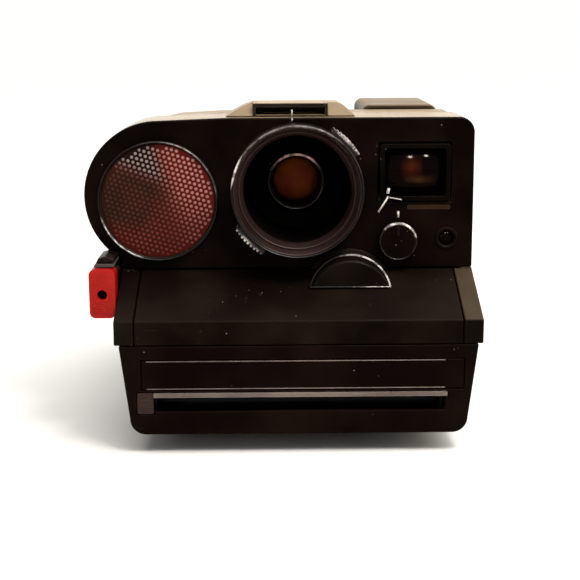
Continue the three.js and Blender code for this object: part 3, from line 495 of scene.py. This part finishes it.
WELL_BLACK = moulded("well_black", (3, 1, 1), (22, 14, 12), 0.5, 0.06)
SOCKET_BLACK = moulded("socket_black", (14, 10, 8), (84, 72, 60), 0.3, 0.3, film=0.85, wear_and_highlight=1)
COATED_LENS = lens_glass()
PANE = window_glass()


# ---------- mesh helpers ----------
def added(name, mesh):
    obj = bpy.data.objects.new(name, mesh)
    bpy.context.collection.objects.link(obj)
    return obj


def mesh_of(name, corners, faces):
    """A mesh from corners in millimetres."""
    mesh = bpy.data.meshes.new(name)
    mesh.from_pydata([Vector(c) * MM for c in corners], [], faces)
    work = bmesh.new()
    work.from_mesh(mesh)
    bmesh.ops.remove_doubles(work, verts=work.verts, dist=1e-7)
    bmesh.ops.recalc_face_normals(work, faces=work.faces)
    work.to_mesh(mesh)
    work.free()
    return mesh


def band(a, b, count):
    """The faces between two closed rows of corners that start at a and b."""
    return [(a + i, a + (i + 1) % count, b + (i + 1) % count, b + i) for i in range(count)]


def lathe(name, profile, x, z, segments=128):
    """A turned piece about the line along Y through (x, z); the profile holds (radius, y)."""
    closed = profile[0][0] > 0 or profile[-1][0] > 0
    corners, faces = [], []
    for radius, y in profile:
        for i in range(segments):
            angle = TURN * i / segments
            corners.append((x + radius * math.cos(angle), y, z + radius * math.sin(angle)))
    rows = len(profile)
    for row in range(rows if closed else rows - 1):
        faces += band(row * segments, (row + 1) % rows * segments, segments)
    return added(name, mesh_of(name, corners, faces))


def set_back(front, profile):
    """A profile whose depths are counted from front."""
    return [(radius, front + depth) for radius, depth in profile]


def swept(name, corners):
    """A piece between two equal outlines; corners holds the one and then the other."""
    count = len(corners) // 2
    ends = [tuple(range(count)), tuple(range(2 * count - 1, count - 1, -1))]
    return added(name, mesh_of(name, corners, ends + band(0, count, count)))


def plate(name, outline, y0, y1):
    """A flat piece: an outline of (x, z) points carried along Y."""
    return swept(name, [(x, y, z) for y in (y0, y1) for x, z in outline])


def lengthwise(name, outline, x0, x1):
    """A section of (y, z) points carried along X."""
    return swept(name, [(x, y, z) for x in (x0, x1) for y, z in outline])


def arc(x, z, radius, start, end, steps=10):
    """Points on an arc from one angle to another, in degrees."""
    angles = [math.radians(start + (end - start) * i / steps) for i in range(steps + 1)]
    return [(x + radius * math.cos(a), z + radius * math.sin(a)) for a in angles]


def round_corners(x0, x1, z0, z1, r, steps=8):
    """The (x, z) outline of a rectangle with round corners."""
    return (
        arc(x1 - r, z0 + r, r, -90, 0, steps)
        + arc(x1 - r, z1 - r, r, 0, 90, steps)
        + arc(x0 + r, z1 - r, r, 90, 180, steps)
        + arc(x0 + r, z0 + r, r, 180, 270, steps)
    )


def join(name, *parts):
    """One object from several."""
    work = bmesh.new()
    for part in parts:
        work.from_mesh(part.data)
    mesh = bpy.data.meshes.new(name)
    work.to_mesh(mesh)
    work.free()
    for part in parts:
        bpy.data.objects.remove(part)
    return added(name, mesh)


SHARP = math.radians(30)  # edges that turn more than this are rounded


def soften(obj, width, segments=3):
    """Rounds the sharp edges and shades the piece smooth."""
    for polygon in obj.data.polygons:
        polygon.use_smooth = True
    bevel = obj.modifiers.new("rounding", "BEVEL")
    bevel.width = width * MM
    bevel.segments = segments
    bevel.limit_method = "ANGLE"
    bevel.angle_limit = SHARP
    bevel.use_clamp_overlap = False
    bevel.harden_normals = True
    normals = obj.modifiers.new("normals", "WEIGHTED_NORMAL")
    normals.keep_sharp = True


def piece(obj, body, slot, look=None, replaces=(), width=0.0):
    """Gives a new piece its look and its body, and hides the CAD nodes it stands for."""
    obj.data.materials.append(look or FINISHES[slot])
    if width:
        soften(obj, width)
    else:
        for polygon in obj.data.polygons:
            polygon.use_smooth = True
    if replaces:
        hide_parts(*replaces)
    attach(obj, body)
    return obj


# ---------- CAD shells that stay: rounded edges and better materials ----------
# The width of each rounding, in millimetres.
ROUNDED = {
    "base_housing": 0.5, "rear_cover": 0.7, "head_panel": 0.5,
    "head_shell": 0.1, "film_door": 0.2, "eyecup": 0.9,
    "viewfinder_housing": 0.6, "focus_drive_cover": 0.3, "button_housing": 0.5,
    "button_cap": 0.4, "button_trim": 0.25, "door_latch": 0.3, "viewfinder_bezel": 0.25,
    "tripod_nut": 0.3, "counter_wheel": 0.15, "motor": 0.4, "mirror": 0.2,
}
OWN_LOOK = {
    "head_panel": FRONT_BLACK, "film_door": DOOR_BLACK, "viewfinder_bezel": WELL_BLACK,
    "button_trim": TRIM_GREY, "head_shell": TOP_BLACK, "rear_cover": COVER_BLACK,
    "focus_drive_cover": DRUM_BLACK, "viewfinder_housing": FINDER_PALE_FILM,
    "button_cap": RING_BLACK, "flash_contacts": SHADED_CONTACT_BRASS,
}
# Nodes whose triangles are not merged into larger flat faces.
UNMERGED = ("film_door", "button_trim", "button_cap")
EDGE = 0.12  # the rounding of every other node


def dress_frame():
    """Gives every CAD node its material and softer edges."""
    slots = {row["node"]: row["material_slot"] for row in frame["record"]["subparts"]}
    for name, obj in frame["nodes"].items():
        obj.data.materials.clear()
        obj.data.materials.append(OWN_LOOK.get(name, FINISHES[slots[name]]))
        weld = obj.modifiers.new("weld", "WELD")
        weld.merge_threshold = 1e-5
        if name not in UNMERGED:
            flat = obj.modifiers.new("flat_faces", "DECIMATE")
            flat.decimate_type = "DISSOLVE"
            flat.angle_limit = math.radians(1)
        soften(obj, ROUNDED.get(name, EDGE), 3 if name in ROUNDED else 1)


# ---------- focus ring and lens ----------
RING_BAND = 8.2  # depth at which the rim's two bands end
WELL_DEPTH = 31.2  # from the ring's front to the floor of the lens well


def ring_crest(front):
    """The narrow rounded edge at the very front."""
    return set_back(front, [
        (20.9, 0.6), (20.8, 0.3), (20.95, 0.06), (21.15, 0), (21.35, 0.06), (21.5, 0.3), (21.5, 0.6),
    ])


def ring_shell(front):
    """The outside of the ring, behind the crest."""
    return set_back(front, [
        (20.9, 0.6), (21.5, 0.6), (21.6, 0.8), (21.6, 11.7), (20.2, 11.7), (20.2, 9), (20.9, 6),
    ])


def ring_bands(front):
    """The two satin bands just inside the rim, with a groove between them."""
    return set_back(front, [
        (17.6, RING_BAND), (17.9, 7.6), (18.7, 4.4), (18.95, 3.9), (19.2, 4.1), (19.35, 4.6),
        (19.55, 4.1), (19.6, 3.2), (20.35, 0.9), (20.55, 0.6), (20.9, 0.9), (20.9, 6),
        (19.6, RING_BAND),
    ])


def ring_funnel(front, back):
    """The ribbed funnel from the bands down to the floor of the well, and the hub behind it."""
    floor, floor_radius = front + WELL_DEPTH, 16.4
    profile = [(10.3, back), (10.3, floor), (floor_radius, floor)]
    ribs, rib_pitch, flare = 14, 1.55, 1.1
    for i in range(ribs):
        y = floor - 0.6 - i * rib_pitch
        r = floor_radius + flare * i / ribs
        profile += [(r, y), (r - 0.35, y - 0.45), (r + 0.05, y - 0.9)]
    return profile + [
        (17.6, front + RING_BAND), (19.6, front + RING_BAND), (19.6, floor + 2), (13.8, floor + 2),
        (13.8, back),
    ]


def grip_tab(name, turn):
    """One serrated tab on the rim of the focus ring."""
    front = in_mm("focus_ring")[0].y
    ribs, inner, outer = 9, 20.7, 23.4
    start, end = 31, 61
    step = (end - start) / ribs
    groove = outer - 0.7
    shape = []
    for i in range(ribs):
        at = start + i * step
        for share, radius in ((0.12, outer), (0.55, outer), (0.68, groove), (0.98, groove)):
            shape.append((radius, at + share * step))
    shape += [(inner, end), (inner, start)]
    points = []
    for radius, degrees in shape:
        angle = math.radians(degrees + turn)
        points.append((LENS.x + radius * math.cos(angle), LENS.z + radius * math.sin(angle)))
    return plate(name, points, front + 0.7, front + 10)


def make_focus_ring():
    """The turned ring with its polished crest, bands, grips and funnel, with painted highlights on the
    crest and on the grips' ribs.
    """
    low, high = in_mm("focus_ring")
    shell = lathe("focus_ring_turned", ring_shell(low.y), LENS.x, LENS.z, 160)
    piece(shell, "focus_ring", "abs_black", RING_BLACK, ("focus_ring",))
    crest = lathe("focus_ring_crest", ring_crest(low.y), LENS.x, LENS.z, 160)
    piece(crest, "focus_ring", "abs_black", RING_RIM)
    bands = lathe("focus_ring_bands", ring_bands(low.y), LENS.x, LENS.z, 160)
    piece(bands, "focus_ring", "abs_black", BAND_BROWN)
    grips = join("focus_ring_grips", grip_tab("tab_a", 0), grip_tab("tab_b", 180))
    piece(grips, "focus_ring", "abs_black", GRIP_RIM, width=0.12)
    funnel = lathe("lens_funnel", ring_funnel(low.y, high.y), LENS.x, LENS.z, 128)
    piece(funnel, "focus_ring", "abs_black", WELL_BLACK)


def make_lens():
    """The barrel, its polished lip with a painted highlight along its top, and the bulging front element.
    """
    low, high = in_mm("lens_cell")
    front, back = low.y, high.y
    barrel = [
        (8.3, back), (8.3, front + 1.6), (8.6, front + 1.2), (8.6, front + 0.9), (8.9, front + 0.6),
        (9.9, front + 0.6), (9.9, back),
    ]
    cell = lathe("lens_barrel", barrel, LENS.x, LENS.z, 96)
    piece(cell, "focus_ring", "gloss_black", RING_BLACK, ("lens_cell",))
    lip_profile = [(8.9, 0.6), (8.95, 0.2), (9.2, 0), (9.6, 0.02), (9.85, 0.25), (9.9, 0.6)]
    lip = lathe("lens_barrel_lip", set_back(front, lip_profile), LENS.x, LENS.z, 96)
    piece(lip, "focus_ring", "gloss_black", BARREL_RIM)
    low, high = in_mm("front_lens")
    sag, radius, steps = 3.2, 8.2, 16
    bowl = (radius ** 2 + sag ** 2) / (2 * sag)
    crown = []
    for i in range(steps + 1):
        r = radius * i / steps
        crown.append((r, low.y + bowl - math.sqrt(bowl ** 2 - r ** 2)))
    lens = lathe("lens_front_element", crown + [(radius, high.y), (0, high.y)], LENS.x, LENS.z, 96)
    piece(lens, "focus_ring", "glass", COATED_LENS, ("front_lens",))


# ---------- sonar ----------
GRILLE_RADIUS = 18.6
CROWN = 0.9  # how far the middle of the grille and of the foil stands forward of their rims
PITCH = 1.7  # from hole to hole
HOLE = 0.55  # radius of a hole
TILT = math.radians(16)  # of the rows of holes, down towards the right
CELL_POINTS = 12  # a hexagonal cell's corners and the middles of its sides, in turn
CELL_TURN = math.pi / 6  # turns each cell so that corners point across the rows


def dome(x, z):
    """How far the grille's face stands forward of its rim."""
    away = math.hypot(x - SONAR.x, z - SONAR.z) / GRILLE_RADIUS
    return CROWN * (1 - away ** 2)


def grille_corner(u, v, y):
    """The corner at (u, v) along and across the rows of holes, kept within the rim."""
    x, z = u * math.cos(TILT) + v * math.sin(TILT), v * math.cos(TILT) - u * math.sin(TILT)
    away = math.hypot(x, z)
    if away > GRILLE_RADIUS:
        x, z = x * GRILLE_RADIUS / away, z * GRILLE_RADIUS / away
    return SONAR.x + x, y - dome(SONAR.x + x, SONAR.z + z), SONAR.z + z


def grille_cell(u, v, front, back):
    """Corners and faces of one hexagonal cell about (u, v); a cell at the rim has no hole."""
    angles = [TURN * k / CELL_POINTS + CELL_TURN for k in range(CELL_POINTS)]
    corners, faces = [], []
    for k, angle in enumerate(angles):
        reach = PITCH / 2 / (math.cos(CELL_TURN) if k % 2 == 0 else 1)
        corners.append(grille_corner(u + reach * math.cos(angle), v + reach * math.sin(angle), front))
    if math.hypot(u, v) > GRILLE_RADIUS - 0.4 * PITCH:
        return corners, [tuple(range(CELL_POINTS))]
    for y in (front, back):
        corners += [grille_corner(u + HOLE * math.cos(a), v + HOLE * math.sin(a), y) for a in angles]
    for k in range(CELL_POINTS):
        j = (k + 1) % CELL_POINTS
        for a in (0, CELL_POINTS):
            b = a + CELL_POINTS
            faces.append((a + k, a + j, b + j, b + k))
    return corners, faces


def make_grille():
    """A perforated disc: hexagonal cells, each with a round hole through it."""
    front = in_mm("sonar_grille")[0].y + 0.55
    back = front + 0.4
    row_pitch = PITCH * math.sqrt(0.75)
    rows = int(GRILLE_RADIUS / row_pitch) + 1
    corners, faces = [], []
    for row in range(-rows, rows + 1):
        for column in range(-rows - 2, rows + 3):
            u, v = (column + 0.5 * (row % 2)) * PITCH, row * row_pitch
            if math.hypot(u, v) > GRILLE_RADIUS + 0.45 * PITCH:
                continue
            cell_corners, cell_faces = grille_cell(u, v, front, back)
            faces += [tuple(len(corners) + i for i in face) for face in cell_faces]
            corners += cell_corners
    grille = added("sonar_mesh", mesh_of("sonar_mesh", corners, faces))
    grille.data.materials.append(FINISHES["sonar_copper"])
    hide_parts("sonar_grille")
    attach(grille, "camera_body")


def make_foil():
    """The bright foil close behind the holes, slightly crowned."""
    rim_y = in_mm("sonar_grille")[0].y + 1.15
    back = rim_y + 0.1
    steps, reach = 12, 18.5
    radii = [reach * i / steps for i in range(steps + 1)]
    crown = [(r, rim_y - CROWN * (1 - (r / GRILLE_RADIUS) ** 2)) for r in radii]
    foil = lathe("sonar_foil_disc", crown + [(reach, back), (0, back)], SONAR.x, SONAR.z, 96)
    piece(foil, "camera_body", "sonar_gold", None, ("sonar_foil",))


def make_sonar_rim():
    """The bezel round the grille, and the narrow polished crest on it, with painted highlights at its upper
    right and lower left.
    """
    face, foot = -46.5, -45.3
    bezel_profile = [
        (18.7, foot), (18.7, face + 0.2), (19.15, face), (19.7, face), (19.9, face + 0.4), (19.9, foot),
    ]
    bezel = lathe("sonar_bezel_turned", bezel_profile, SONAR.x, SONAR.z)
    piece(bezel, "camera_body", "gloss_black", RING_BLACK, ("sonar_bezel",))
    crest_profile = [
        (19.15, 0.05), (19.25, -0.45), (19.4, -0.65), (19.6, -0.6), (19.72, 0), (19.72, 0.05),
    ]
    crest = lathe("sonar_crest", set_back(face, crest_profile), SONAR.x, SONAR.z)
    piece(crest, "camera_body", "gloss_black", SONAR_RIM)


# ---------- dial, electric eye, marks ----------
def dial_skirt(front):
    """The knob's knurled side."""
    radius, ribs, groove = 6.6, 44, 0.28
    seat = -45.4
    step = 360 / ribs
    points = []
    for i in range(ribs):
        for share, depth in ((0.1, 0), (0.45, 0), (0.6, groove), (0.95, groove)):
            angle = math.radians(360 * i / ribs + share * step)
            reach = radius - depth
            points.append((DIAL.x + reach * math.cos(angle), DIAL.z + reach * math.sin(angle)))
    return plate("dial_skirt", points, front + 0.9, seat)


def make_dial():
    """A knurled knob with a dished face, a polished edge with a painted highlight along its top, and a
    raised pointer.
    """
    top = in_mm("exposure_dial")[0].y
    front = top + 0.6
    skirt = dial_skirt(front)
    dish = [(0, 0.35), (4.6, 0.3), (5.3, 0.1), (5.7, 0.1), (5.7, 1.2), (0, 1.2)]
    face = lathe("dial_face", set_back(front, dish), DIAL.x, DIAL.z, 96)
    edge_profile = [(5.7, 1.2), (5.7, 0.1), (5.9, 0), (6.2, 0.1), (6.4, 0.5), (6.4, 1.2)]
    edge = lathe("dial_edge", set_back(front, edge_profile), DIAL.x, DIAL.z, 96)
    piece(edge, "exposure_dial", "gloss_black", DIAL_RIM)
    knob = join("dial_knob", skirt, face)
    piece(knob, "exposure_dial", "gloss_black", FRONT_BLACK, ("exposure_dial",), 0.08)
    bar = round_corners(DIAL.x - 0.35, DIAL.x + 0.35, DIAL.z + 1.8, DIAL.z + 5.2, 0.3)
    mark = plate("dial_pointer", bar, top + 0.45, front + 0.6)
    piece(mark, "exposure_dial", "gloss_black", None, width=0.08)


def stroke(name, start, end, width, front=PANEL_FRONT):
    """A thin painted line from one (x, z) point to another, on the face that stands at front."""
    (x0, z0), (x1, z1) = start, end
    length = math.hypot(x1 - x0, z1 - z0)
    nx, nz = -(z1 - z0) / length * width / 2, (x1 - x0) / length * width / 2
    outline = [(x0 + nx, z0 + nz), (x1 + nx, z1 + nz), (x1 - nx, z1 - nz), (x0 - nx, z0 - nz)]
    return plate(name, outline, front - 0.12, front + 0.2)


def make_marks():
    """The index over the dial, the lighter-darker wedge beside it, and the index over the lens."""
    x, z = DIAL.x, DIAL.z
    tick = stroke("tick", (x + 0.3, z + 7.5), (x + 0.3, z + 9.6), 0.7)
    bezel = in_mm("viewfinder_bezel")[0].y
    wedge = [
        stroke("wedge_side", (x - 6.4, z + 9.5), (x - 3.1, z + 14.7), 0.55, bezel),
        stroke("wedge_top", (x - 3.3, z + 14.4), (x + 1.3, z + 13.6), 0.3, bezel),
        stroke("wedge_blob", (x - 3.4, z + 15.6), (x - 3.0, z + 17.4), 0.9, bezel),
    ]
    piece(join("dial_marks", tick, *wedge), "camera_body", "abs_black", PAINT_WHITE)
    socket = in_mm("flash_socket")[0].y
    line = stroke("lens_index", (LENS.x - 1.5, LENS.z + 21.9), (LENS.x - 1.5, LENS.z + 22.9), 0.45)
    above = stroke("line_above", (LENS.x - 1.5, LENS.z + 23.2), (LENS.x - 1.5, LENS.z + 25.4), 0.45, socket)
    piece(join("index_line", line, above), "camera_body", "abs_black", PAINT_WHITE)


def make_drum_rim():
    """The polished front edge of the half-moon cover, and the line where it meets the deck, both with
    painted highlights towards the right.
    """
    low, high = in_mm("focus_drive_cover")
    front, radius, width = low.y, 13.6, 0.5
    x, z = DRUM.x, high.z - radius
    start = math.degrees(math.asin((low.z + 0.4 - z) / radius))
    outer = arc(x, z, radius, start, 180 - start, 40)
    inner = arc(x, z, radius - width, 180 - start, start, 40)
    edge = plate("edge", outer + inner, front - 0.15, front + 0.4)
    half = math.sqrt(radius ** 2 - (low.z + 0.4 - z) ** 2)
    foot = stroke("foot", (x - half, low.z + 0.3), (x + half, low.z + 0.3), 0.3, front)
    piece(join("drum_edge", edge, foot), "camera_body", "abs_black", DRUM_RIM, width=0.1)


def make_window():
    """The finder's bulging front lens, cut to a rounded rectangle."""
    low, high = in_mm("viewfinder_window")
    cx, cz = (low.x + high.x) / 2, (low.z + high.z) / 2
    half_x, half_z = (high.x - low.x) / 2 - 0.1, (high.z - low.z) / 2 - 0.1
    bulge, across, up = 15, 28, 22
    front = low.y + 0.2
    corners, faces = [], []
    for row in range(up + 1):
        for column in range(across + 1):
            x = half_x * (2 * column / across - 1)
            z = half_z * (2 * row / up - 1)
            y = front + bulge - math.sqrt(bulge ** 2 - (x * 0.7) ** 2 - z ** 2)
            corners.append((cx + x, y, cz + z))
    for row in range(up):
        for column in range(across):
            a = row * (across + 1) + column
            faces.append((a, a + 1, a + across + 2, a + across + 1))
    pane = added("finder_lens", mesh_of("finder_lens", corners, faces))
    shell = pane.modifiers.new("thickness", "SOLIDIFY")
    shell.thickness = 0.8 * MM
    piece(pane, "camera_body", "glass", PANE, ("viewfinder_window",))


def make_electric_eye():
    """A small lens in a stepped collar."""
    low, high = in_mm("photocell_window")
    x, z = (low.x + high.x) / 2, (low.z + high.z) / 2
    face = -45  # the panel's front
    collar_profile = [
        (2.4, 0.8), (2.4, -0.2), (2.9, -0.5), (3.3, -0.62), (3.75, -0.5), (3.8, -0.05), (2.9, -0.05),
        (2.9, 0.8),
    ]
    collar = lathe("eye_collar", set_back(face, collar_profile), x, z, 64)
    piece(collar, "camera_body", "gloss_black", FRONT_BLACK)
    steps, radius, back = 10, 2.4, face + 1.4
    bulge = [(radius * i / steps, face + 0.7 * (i / steps) ** 2) for i in range(steps + 1)]
    eye = lathe("eye_lens", bulge + [(radius, back), (0, back)], x, z, 48)
    piece(eye, "camera_body", "glass", FINISHES["glass"], ("photocell_window",))


def make_finder_sill():
    """The sloping sill under the finder window."""
    x0, x1 = DIAL.x + 3.2, DIAL.x + 17.5
    top = in_mm("viewfinder_bezel")[0].z - 1.3
    outline = round_corners(x0, x1, top - 1.6, top, 0.5)
    sill = plate("finder_sill", outline, PANEL_FRONT - 0.25, PANEL_FRONT + 0.2)
    piece(sill, "camera_body", "abs_black", SILL_BROWN, width=0.12)


# ---------- deck, door trims ----------
SEAM = 52  # from the lens axis to the seam where the deck's end pieces start
SEAM_GAP = 0.35
BAND_TOP = 43.6
DECK_WALL = 2
CHEEK = 3.6  # width of the upright piece at each outer end


def deck_end(side, section, x0, x1):
    """The deck beyond a seam, with the upright cheek that closes its outer end."""
    low, high = in_mm("front_deck")
    slope = lengthwise(f"deck_end_{side}", section, x0, x1)
    tuck, top = high.y + 2.6, high.z + 0.25
    outline = [
        (tuck, low.z), (tuck, top), (high.y + 0.1, top), (high.y, high.z - 0.5),
        (low.y + 0.5, BAND_TOP - 0.6), (low.y + 0.5, low.z),
    ]
    outside = x0 if side == "left" else x1 - CHEEK
    cheek = lengthwise("cheek", outline, outside, outside + CHEEK)
    return join(f"deck_end_{side}", slope, cheek)


def make_deck():
    """The sloping deck and the band under it, with a separate piece at each end."""
    low, high = in_mm("front_deck")
    section = [
        (high.y, high.z), (low.y, BAND_TOP), (low.y, low.z), (low.y + DECK_WALL, low.z),
        (low.y + DECK_WALL, BAND_TOP - 1.3), (high.y, high.z - DECK_WALL * 1.1),
    ]
    left, right = LENS.x - SEAM, LENS.x + SEAM
    centre = lengthwise("deck_main", section, left, right)
    piece(centre, "camera_body", "abs_black", DECK_BLACK, ("front_deck",), 0.45)
    end = deck_end("left", section, low.x, left - SEAM_GAP)
    piece(end, "camera_body", "abs_black", DECK_BLACK, width=0.45)
    end = deck_end("right", section, right + SEAM_GAP, high.x)
    # The right end takes the paler copy, as painted light from the right.
    piece(end, "camera_body", "abs_black", LIT_FLANK_BLACK, width=0.45)


def make_backings():
    """Dark walls behind the deck and under the head, which close the gaps between shells."""
    under_cap = [(-60.5, 52), (-53, 52), (-53, 58.5), (-58.5, 58.5), (-60.5, 57.5)]
    filler = plate("cap_backing", under_cap, -41, -38)
    piece(filler, "camera_body", "abs_black", WELL_BLACK)
    low, high = in_mm("front_deck")
    rise = (high.z - BAND_TOP) / (high.y - low.y)  # of the deck, per millimetre of depth
    foot, inner = low.z + 0.4, low.y + DECK_WALL
    section = [
        (high.y - 0.4, high.z - 1.3), (low.y + 1, BAND_TOP - 1 - rise), (low.y + 1, foot),
        (inner, foot), (inner, BAND_TOP - 2), (high.y - 0.4, high.z - 2.4),
    ]
    backing = lengthwise("deck_backing", section, low.x + 1.5, high.x - 1.5)
    piece(backing, "camera_body", "abs_black", WELL_BLACK)


def make_corner_posts():
    """The deck's two feet, which close the corners between the door, the base and the rear cover,
    and the tongues in the seam between base and cover behind them."""
    cover_low, cover_high = in_mm("rear_cover")
    front, back = in_mm("film_door")[1].y + 0.4, cover_low.y - 0.3
    bottom, top = in_mm("base_housing")[1].z + 0.3, in_mm("front_deck")[0].z + 1
    section = [(front, bottom), (back, bottom), (back, top), (front, top)]
    places = (cover_low.x - 0.3, cover_high.x - 1.3)
    posts = [lengthwise("post", section, x, x + 1.6) for x in places]
    piece(join("deck_corner_posts", *posts), "camera_body", "abs_black", FRONT_BLACK, width=0.2)
    start = back - 0.3
    end = start + 7
    seam = [
        (start, bottom - 0.8), (end, bottom - 0.8), (end, bottom + 0.7), (start, bottom + 0.7),
    ]
    places = (cover_low.x + 0.4, cover_high.x - 1)
    tongues = [lengthwise("tongue", seam, x, x + 0.6) for x in places]
    piece(join("seam_tongues", *tongues), "camera_body", "abs_black", WELL_BLACK)


def make_faceplate():
    """The strip let into the door, with a thin raised pale line along its top and bottom as painted
    highlights on its edges.
    """
    low, high = in_mm("door_faceplate")
    strip = plate("door_strip", round_corners(low.x, high.x, low.z, high.z, 0.6), low.y + 0.1, high.y)
    piece(strip, "film_door", "gloss_black", DOOR_BLACK, ("door_faceplate",), 0.3)
    lines = []
    # Thin pale lines as painted highlights along the strip's top and bottom edges.
    for z in (low.z + 0.35, high.z - 0.35):
        outline = round_corners(low.x + 1.5, high.x - 6, z - 0.13, z + 0.13, 0.1, 3)
        lines.append(plate("line", outline, low.y - 0.02, high.y))
    piece(join("strip_highlight_lines", *lines), "film_door", "gloss_black", FINISHES["light_grey"])


def make_exit_lip():
    """The grey strip over the picture slot and the block at its left end."""
    low, high = in_mm("exit_lip")
    bar_outline = round_corners(low.x + 5.2, high.x, high.z - 1.6, high.z, 0.2, 3)
    bar = plate("lip_bar", bar_outline, low.y, low.y + 2.9)
    block_outline = round_corners(low.x, low.x + 5.1, low.z, high.z, 0.5, 4)
    block = plate("lip_block", block_outline, low.y + 0.1, low.y + 0.9)
    ribs = []
    for i in range(5):
        z = low.z + 1.2 + 1.1 * i
        outline = round_corners(low.x + 0.8, low.x + 4.3, z - 0.2, z + 0.2, 0.15, 3)
        ribs.append(plate("rib", outline, low.y, low.y + 0.5))
    piece(join("exit_lip_bar", bar), "film_door", "light_grey", None, ("exit_lip",), 0.18)
    piece(join("exit_lip_block", block, *ribs), "film_door", "light_grey", BAND_BROWN, width=0.12)


# ---------- shutter button ----------
RELEASE_HOLE = 1.6  # radius of the hole for a cable release


def key_block(low, high, mid_x, mid_z, front):
    """The key's body: round corners, and a blind round hole in its front."""
    back, depth = -55.0, 3.2
    outline = round_corners(low.x, high.x, low.z, high.z, 1.9, 6)
    count = len(outline)
    turns = [TURN * i / count for i in range(count)]
    hole = [(mid_x + RELEASE_HOLE * math.cos(a), mid_z + RELEASE_HOLE * math.sin(a)) for a in turns]
    bearings = [math.atan2(z - mid_z, x - mid_x) % TURN for x, z in outline]
    first = bearings.index(min(bearings))
    outline = outline[first:] + outline[:first]
    rings = [(outline, back), (outline, front), (hole, front), (hole, front + depth)]
    corners = [(x, y, z) for ring, y in rings for x, z in ring]
    faces = []
    for row in range(len(rings) - 1):
        faces += band(row * count, (row + 1) * count, count)
    faces += [tuple(range(3 * count, 4 * count)), tuple(range(count - 1, -1, -1))]
    return added("key", mesh_of("key", corners, faces))


def even_steps(start, end, count):
    """Evenly spaced numbers from start to end."""
    return [start + (end - start) * i / (count - 1) for i in range(count)]


def rib_spans(start, end, centre, away):
    """The lengths of one rib: two where it passes less than away from the hole's centre."""
    if away >= RELEASE_HOLE + 0.35:
        return [(start, end)]
    clear = RELEASE_HOLE + 0.5
    return [(start, centre - clear), (centre + clear, end)]


def key_ribs(low, high, mid_x, mid_z, front):
    """Fine ribs along and up the key's face, broken where they meet the hole."""
    half, foot = 0.14, front + 0.2
    ribs = []
    for z in even_steps(low.z + 1.5, high.z - 1.5, 24):
        for a, b in rib_spans(low.x + 0.7, high.x - 0.7, mid_x, abs(z - mid_z)):
            outline = [(a, z - half), (b, z - half), (b, z + half), (a, z + half)]
            ribs.append(plate("rib", outline, front - 0.15, foot))
    for x in even_steps(low.x + 0.9, high.x - 0.9, 10):
        for a, b in rib_spans(low.z + 1.4, high.z - 1.4, mid_z, abs(x - mid_x)):
            outline = [(x - half, a), (x + half, a), (x + half, b), (x - half, b)]
            ribs.append(plate("rib", outline, front - 0.14, foot))
    return ribs


def make_button():
    """A red key with fine ribs across its face and a round hole for a cable release."""
    low, high = in_mm("shutter_button")
    mid_x, mid_z = (low.x + high.x) / 2, (low.z + high.z) / 2 - 0.3
    front = low.y + 0.15
    block = key_block(low, high, mid_x, mid_z, front)
    ribs = key_ribs(low, high, mid_x, mid_z, front)
    stem_profile = [(0, -55.5), (2.5, -55.5), (2.5, -45), (0, -45)]
    stem = lathe("stem", stem_profile, mid_x, mid_z + 0.3, 32)
    key = join("shutter_key", block, *ribs, stem)
    piece(key, "shutter_button", "red_plastic", None, ("shutter_button",), 0.1)
    floor = [(0, front + 2.4), (1.55, front + 2.4), (1.55, front + 3), (0, front + 3)]
    well = lathe("release_hole", floor, mid_x, mid_z, 32)
    piece(well, "shutter_button", "red_plastic", WELL_BLACK)


# ---------- flash socket ----------
def upright(name, x0, x1, z0, z1, y0, y1):
    """A rectangular block."""
    return plate(name, [(x0, z0), (x1, z0), (x1, z1), (x0, z1)], y0, y1)


def socket_ramp(edge, foot, shoulder, crest, front, back, bottom, top):
    """One sloping end of the platform: from its foot up to the box round the slot at edge."""
    brow = front + 4.5
    corners = [
        (foot, front, bottom), (edge, front, bottom), (edge, brow, top), (crest, brow, top),
        (shoulder, brow, top - 1), (foot, back, bottom), (edge, back, bottom),
        (edge, back, top), (crest, back, top), (shoulder, back, top - 1),
    ]
    faces = [
        (0, 1, 2, 3, 4), (1, 6, 7, 2), (2, 7, 8, 3), (3, 8, 9, 4), (4, 9, 5, 0), (6, 5, 9, 8, 7),
        (0, 5, 6, 1),
    ]
    if foot > edge:
        faces = [tuple(reversed(face)) for face in faces]
    return added("ramp", mesh_of("ramp", corners, faces))


def make_socket():
    """The platform for a flash bar: a roof over a wide dark slot, with sloping ends."""
    low, high = in_mm("flash_socket")
    left, right = (low.x + high.x) / 2 - 11.4, (low.x + high.x) / 2 + 11.4
    floor, ceiling = 105.7, 108.1
    front, back, bottom, top = low.y, low.y + 12, low.z, high.z
    outline = [
        (low.x, bottom), (high.x, bottom), (high.x - 4, top - 1), (high.x - 6, top),
        (low.x + 9, top), (low.x + 6, top - 1),
    ]
    parts = [
        plate("socket_back", outline, back, high.y),
        upright("roof", left, right, ceiling, top, front, back),
        upright("sill", left, right, bottom, floor, front, back),
        upright("cheek", left - 1, left, bottom, top, front, back),
        upright("cheek", right, right + 1, bottom, top, front, back),
        socket_ramp(left - 1, low.x, low.x + 6, low.x + 9, front, back, bottom, top),
        socket_ramp(right + 1, high.x, high.x - 4, high.x - 6, front, back, bottom, top),
    ]
    socket = join("socket_platform", *parts)
    piece(socket, "camera_body", "abs_black", SOCKET_BLACK, ("flash_socket",), 0.18)


make_camera()
light_room()
make_floor()
dress_frame()
make_focus_ring()
make_lens()
make_grille()
make_foil()
make_sonar_rim()
make_window()
make_dial()
make_marks()
make_drum_rim()
make_electric_eye()
make_finder_sill()
make_deck()
make_backings()
make_corner_posts()
make_faceplate()
make_exit_lip()
make_button()
make_socket()

scene = bpy.context.scene
scene.view_settings.view_transform = "Standard"
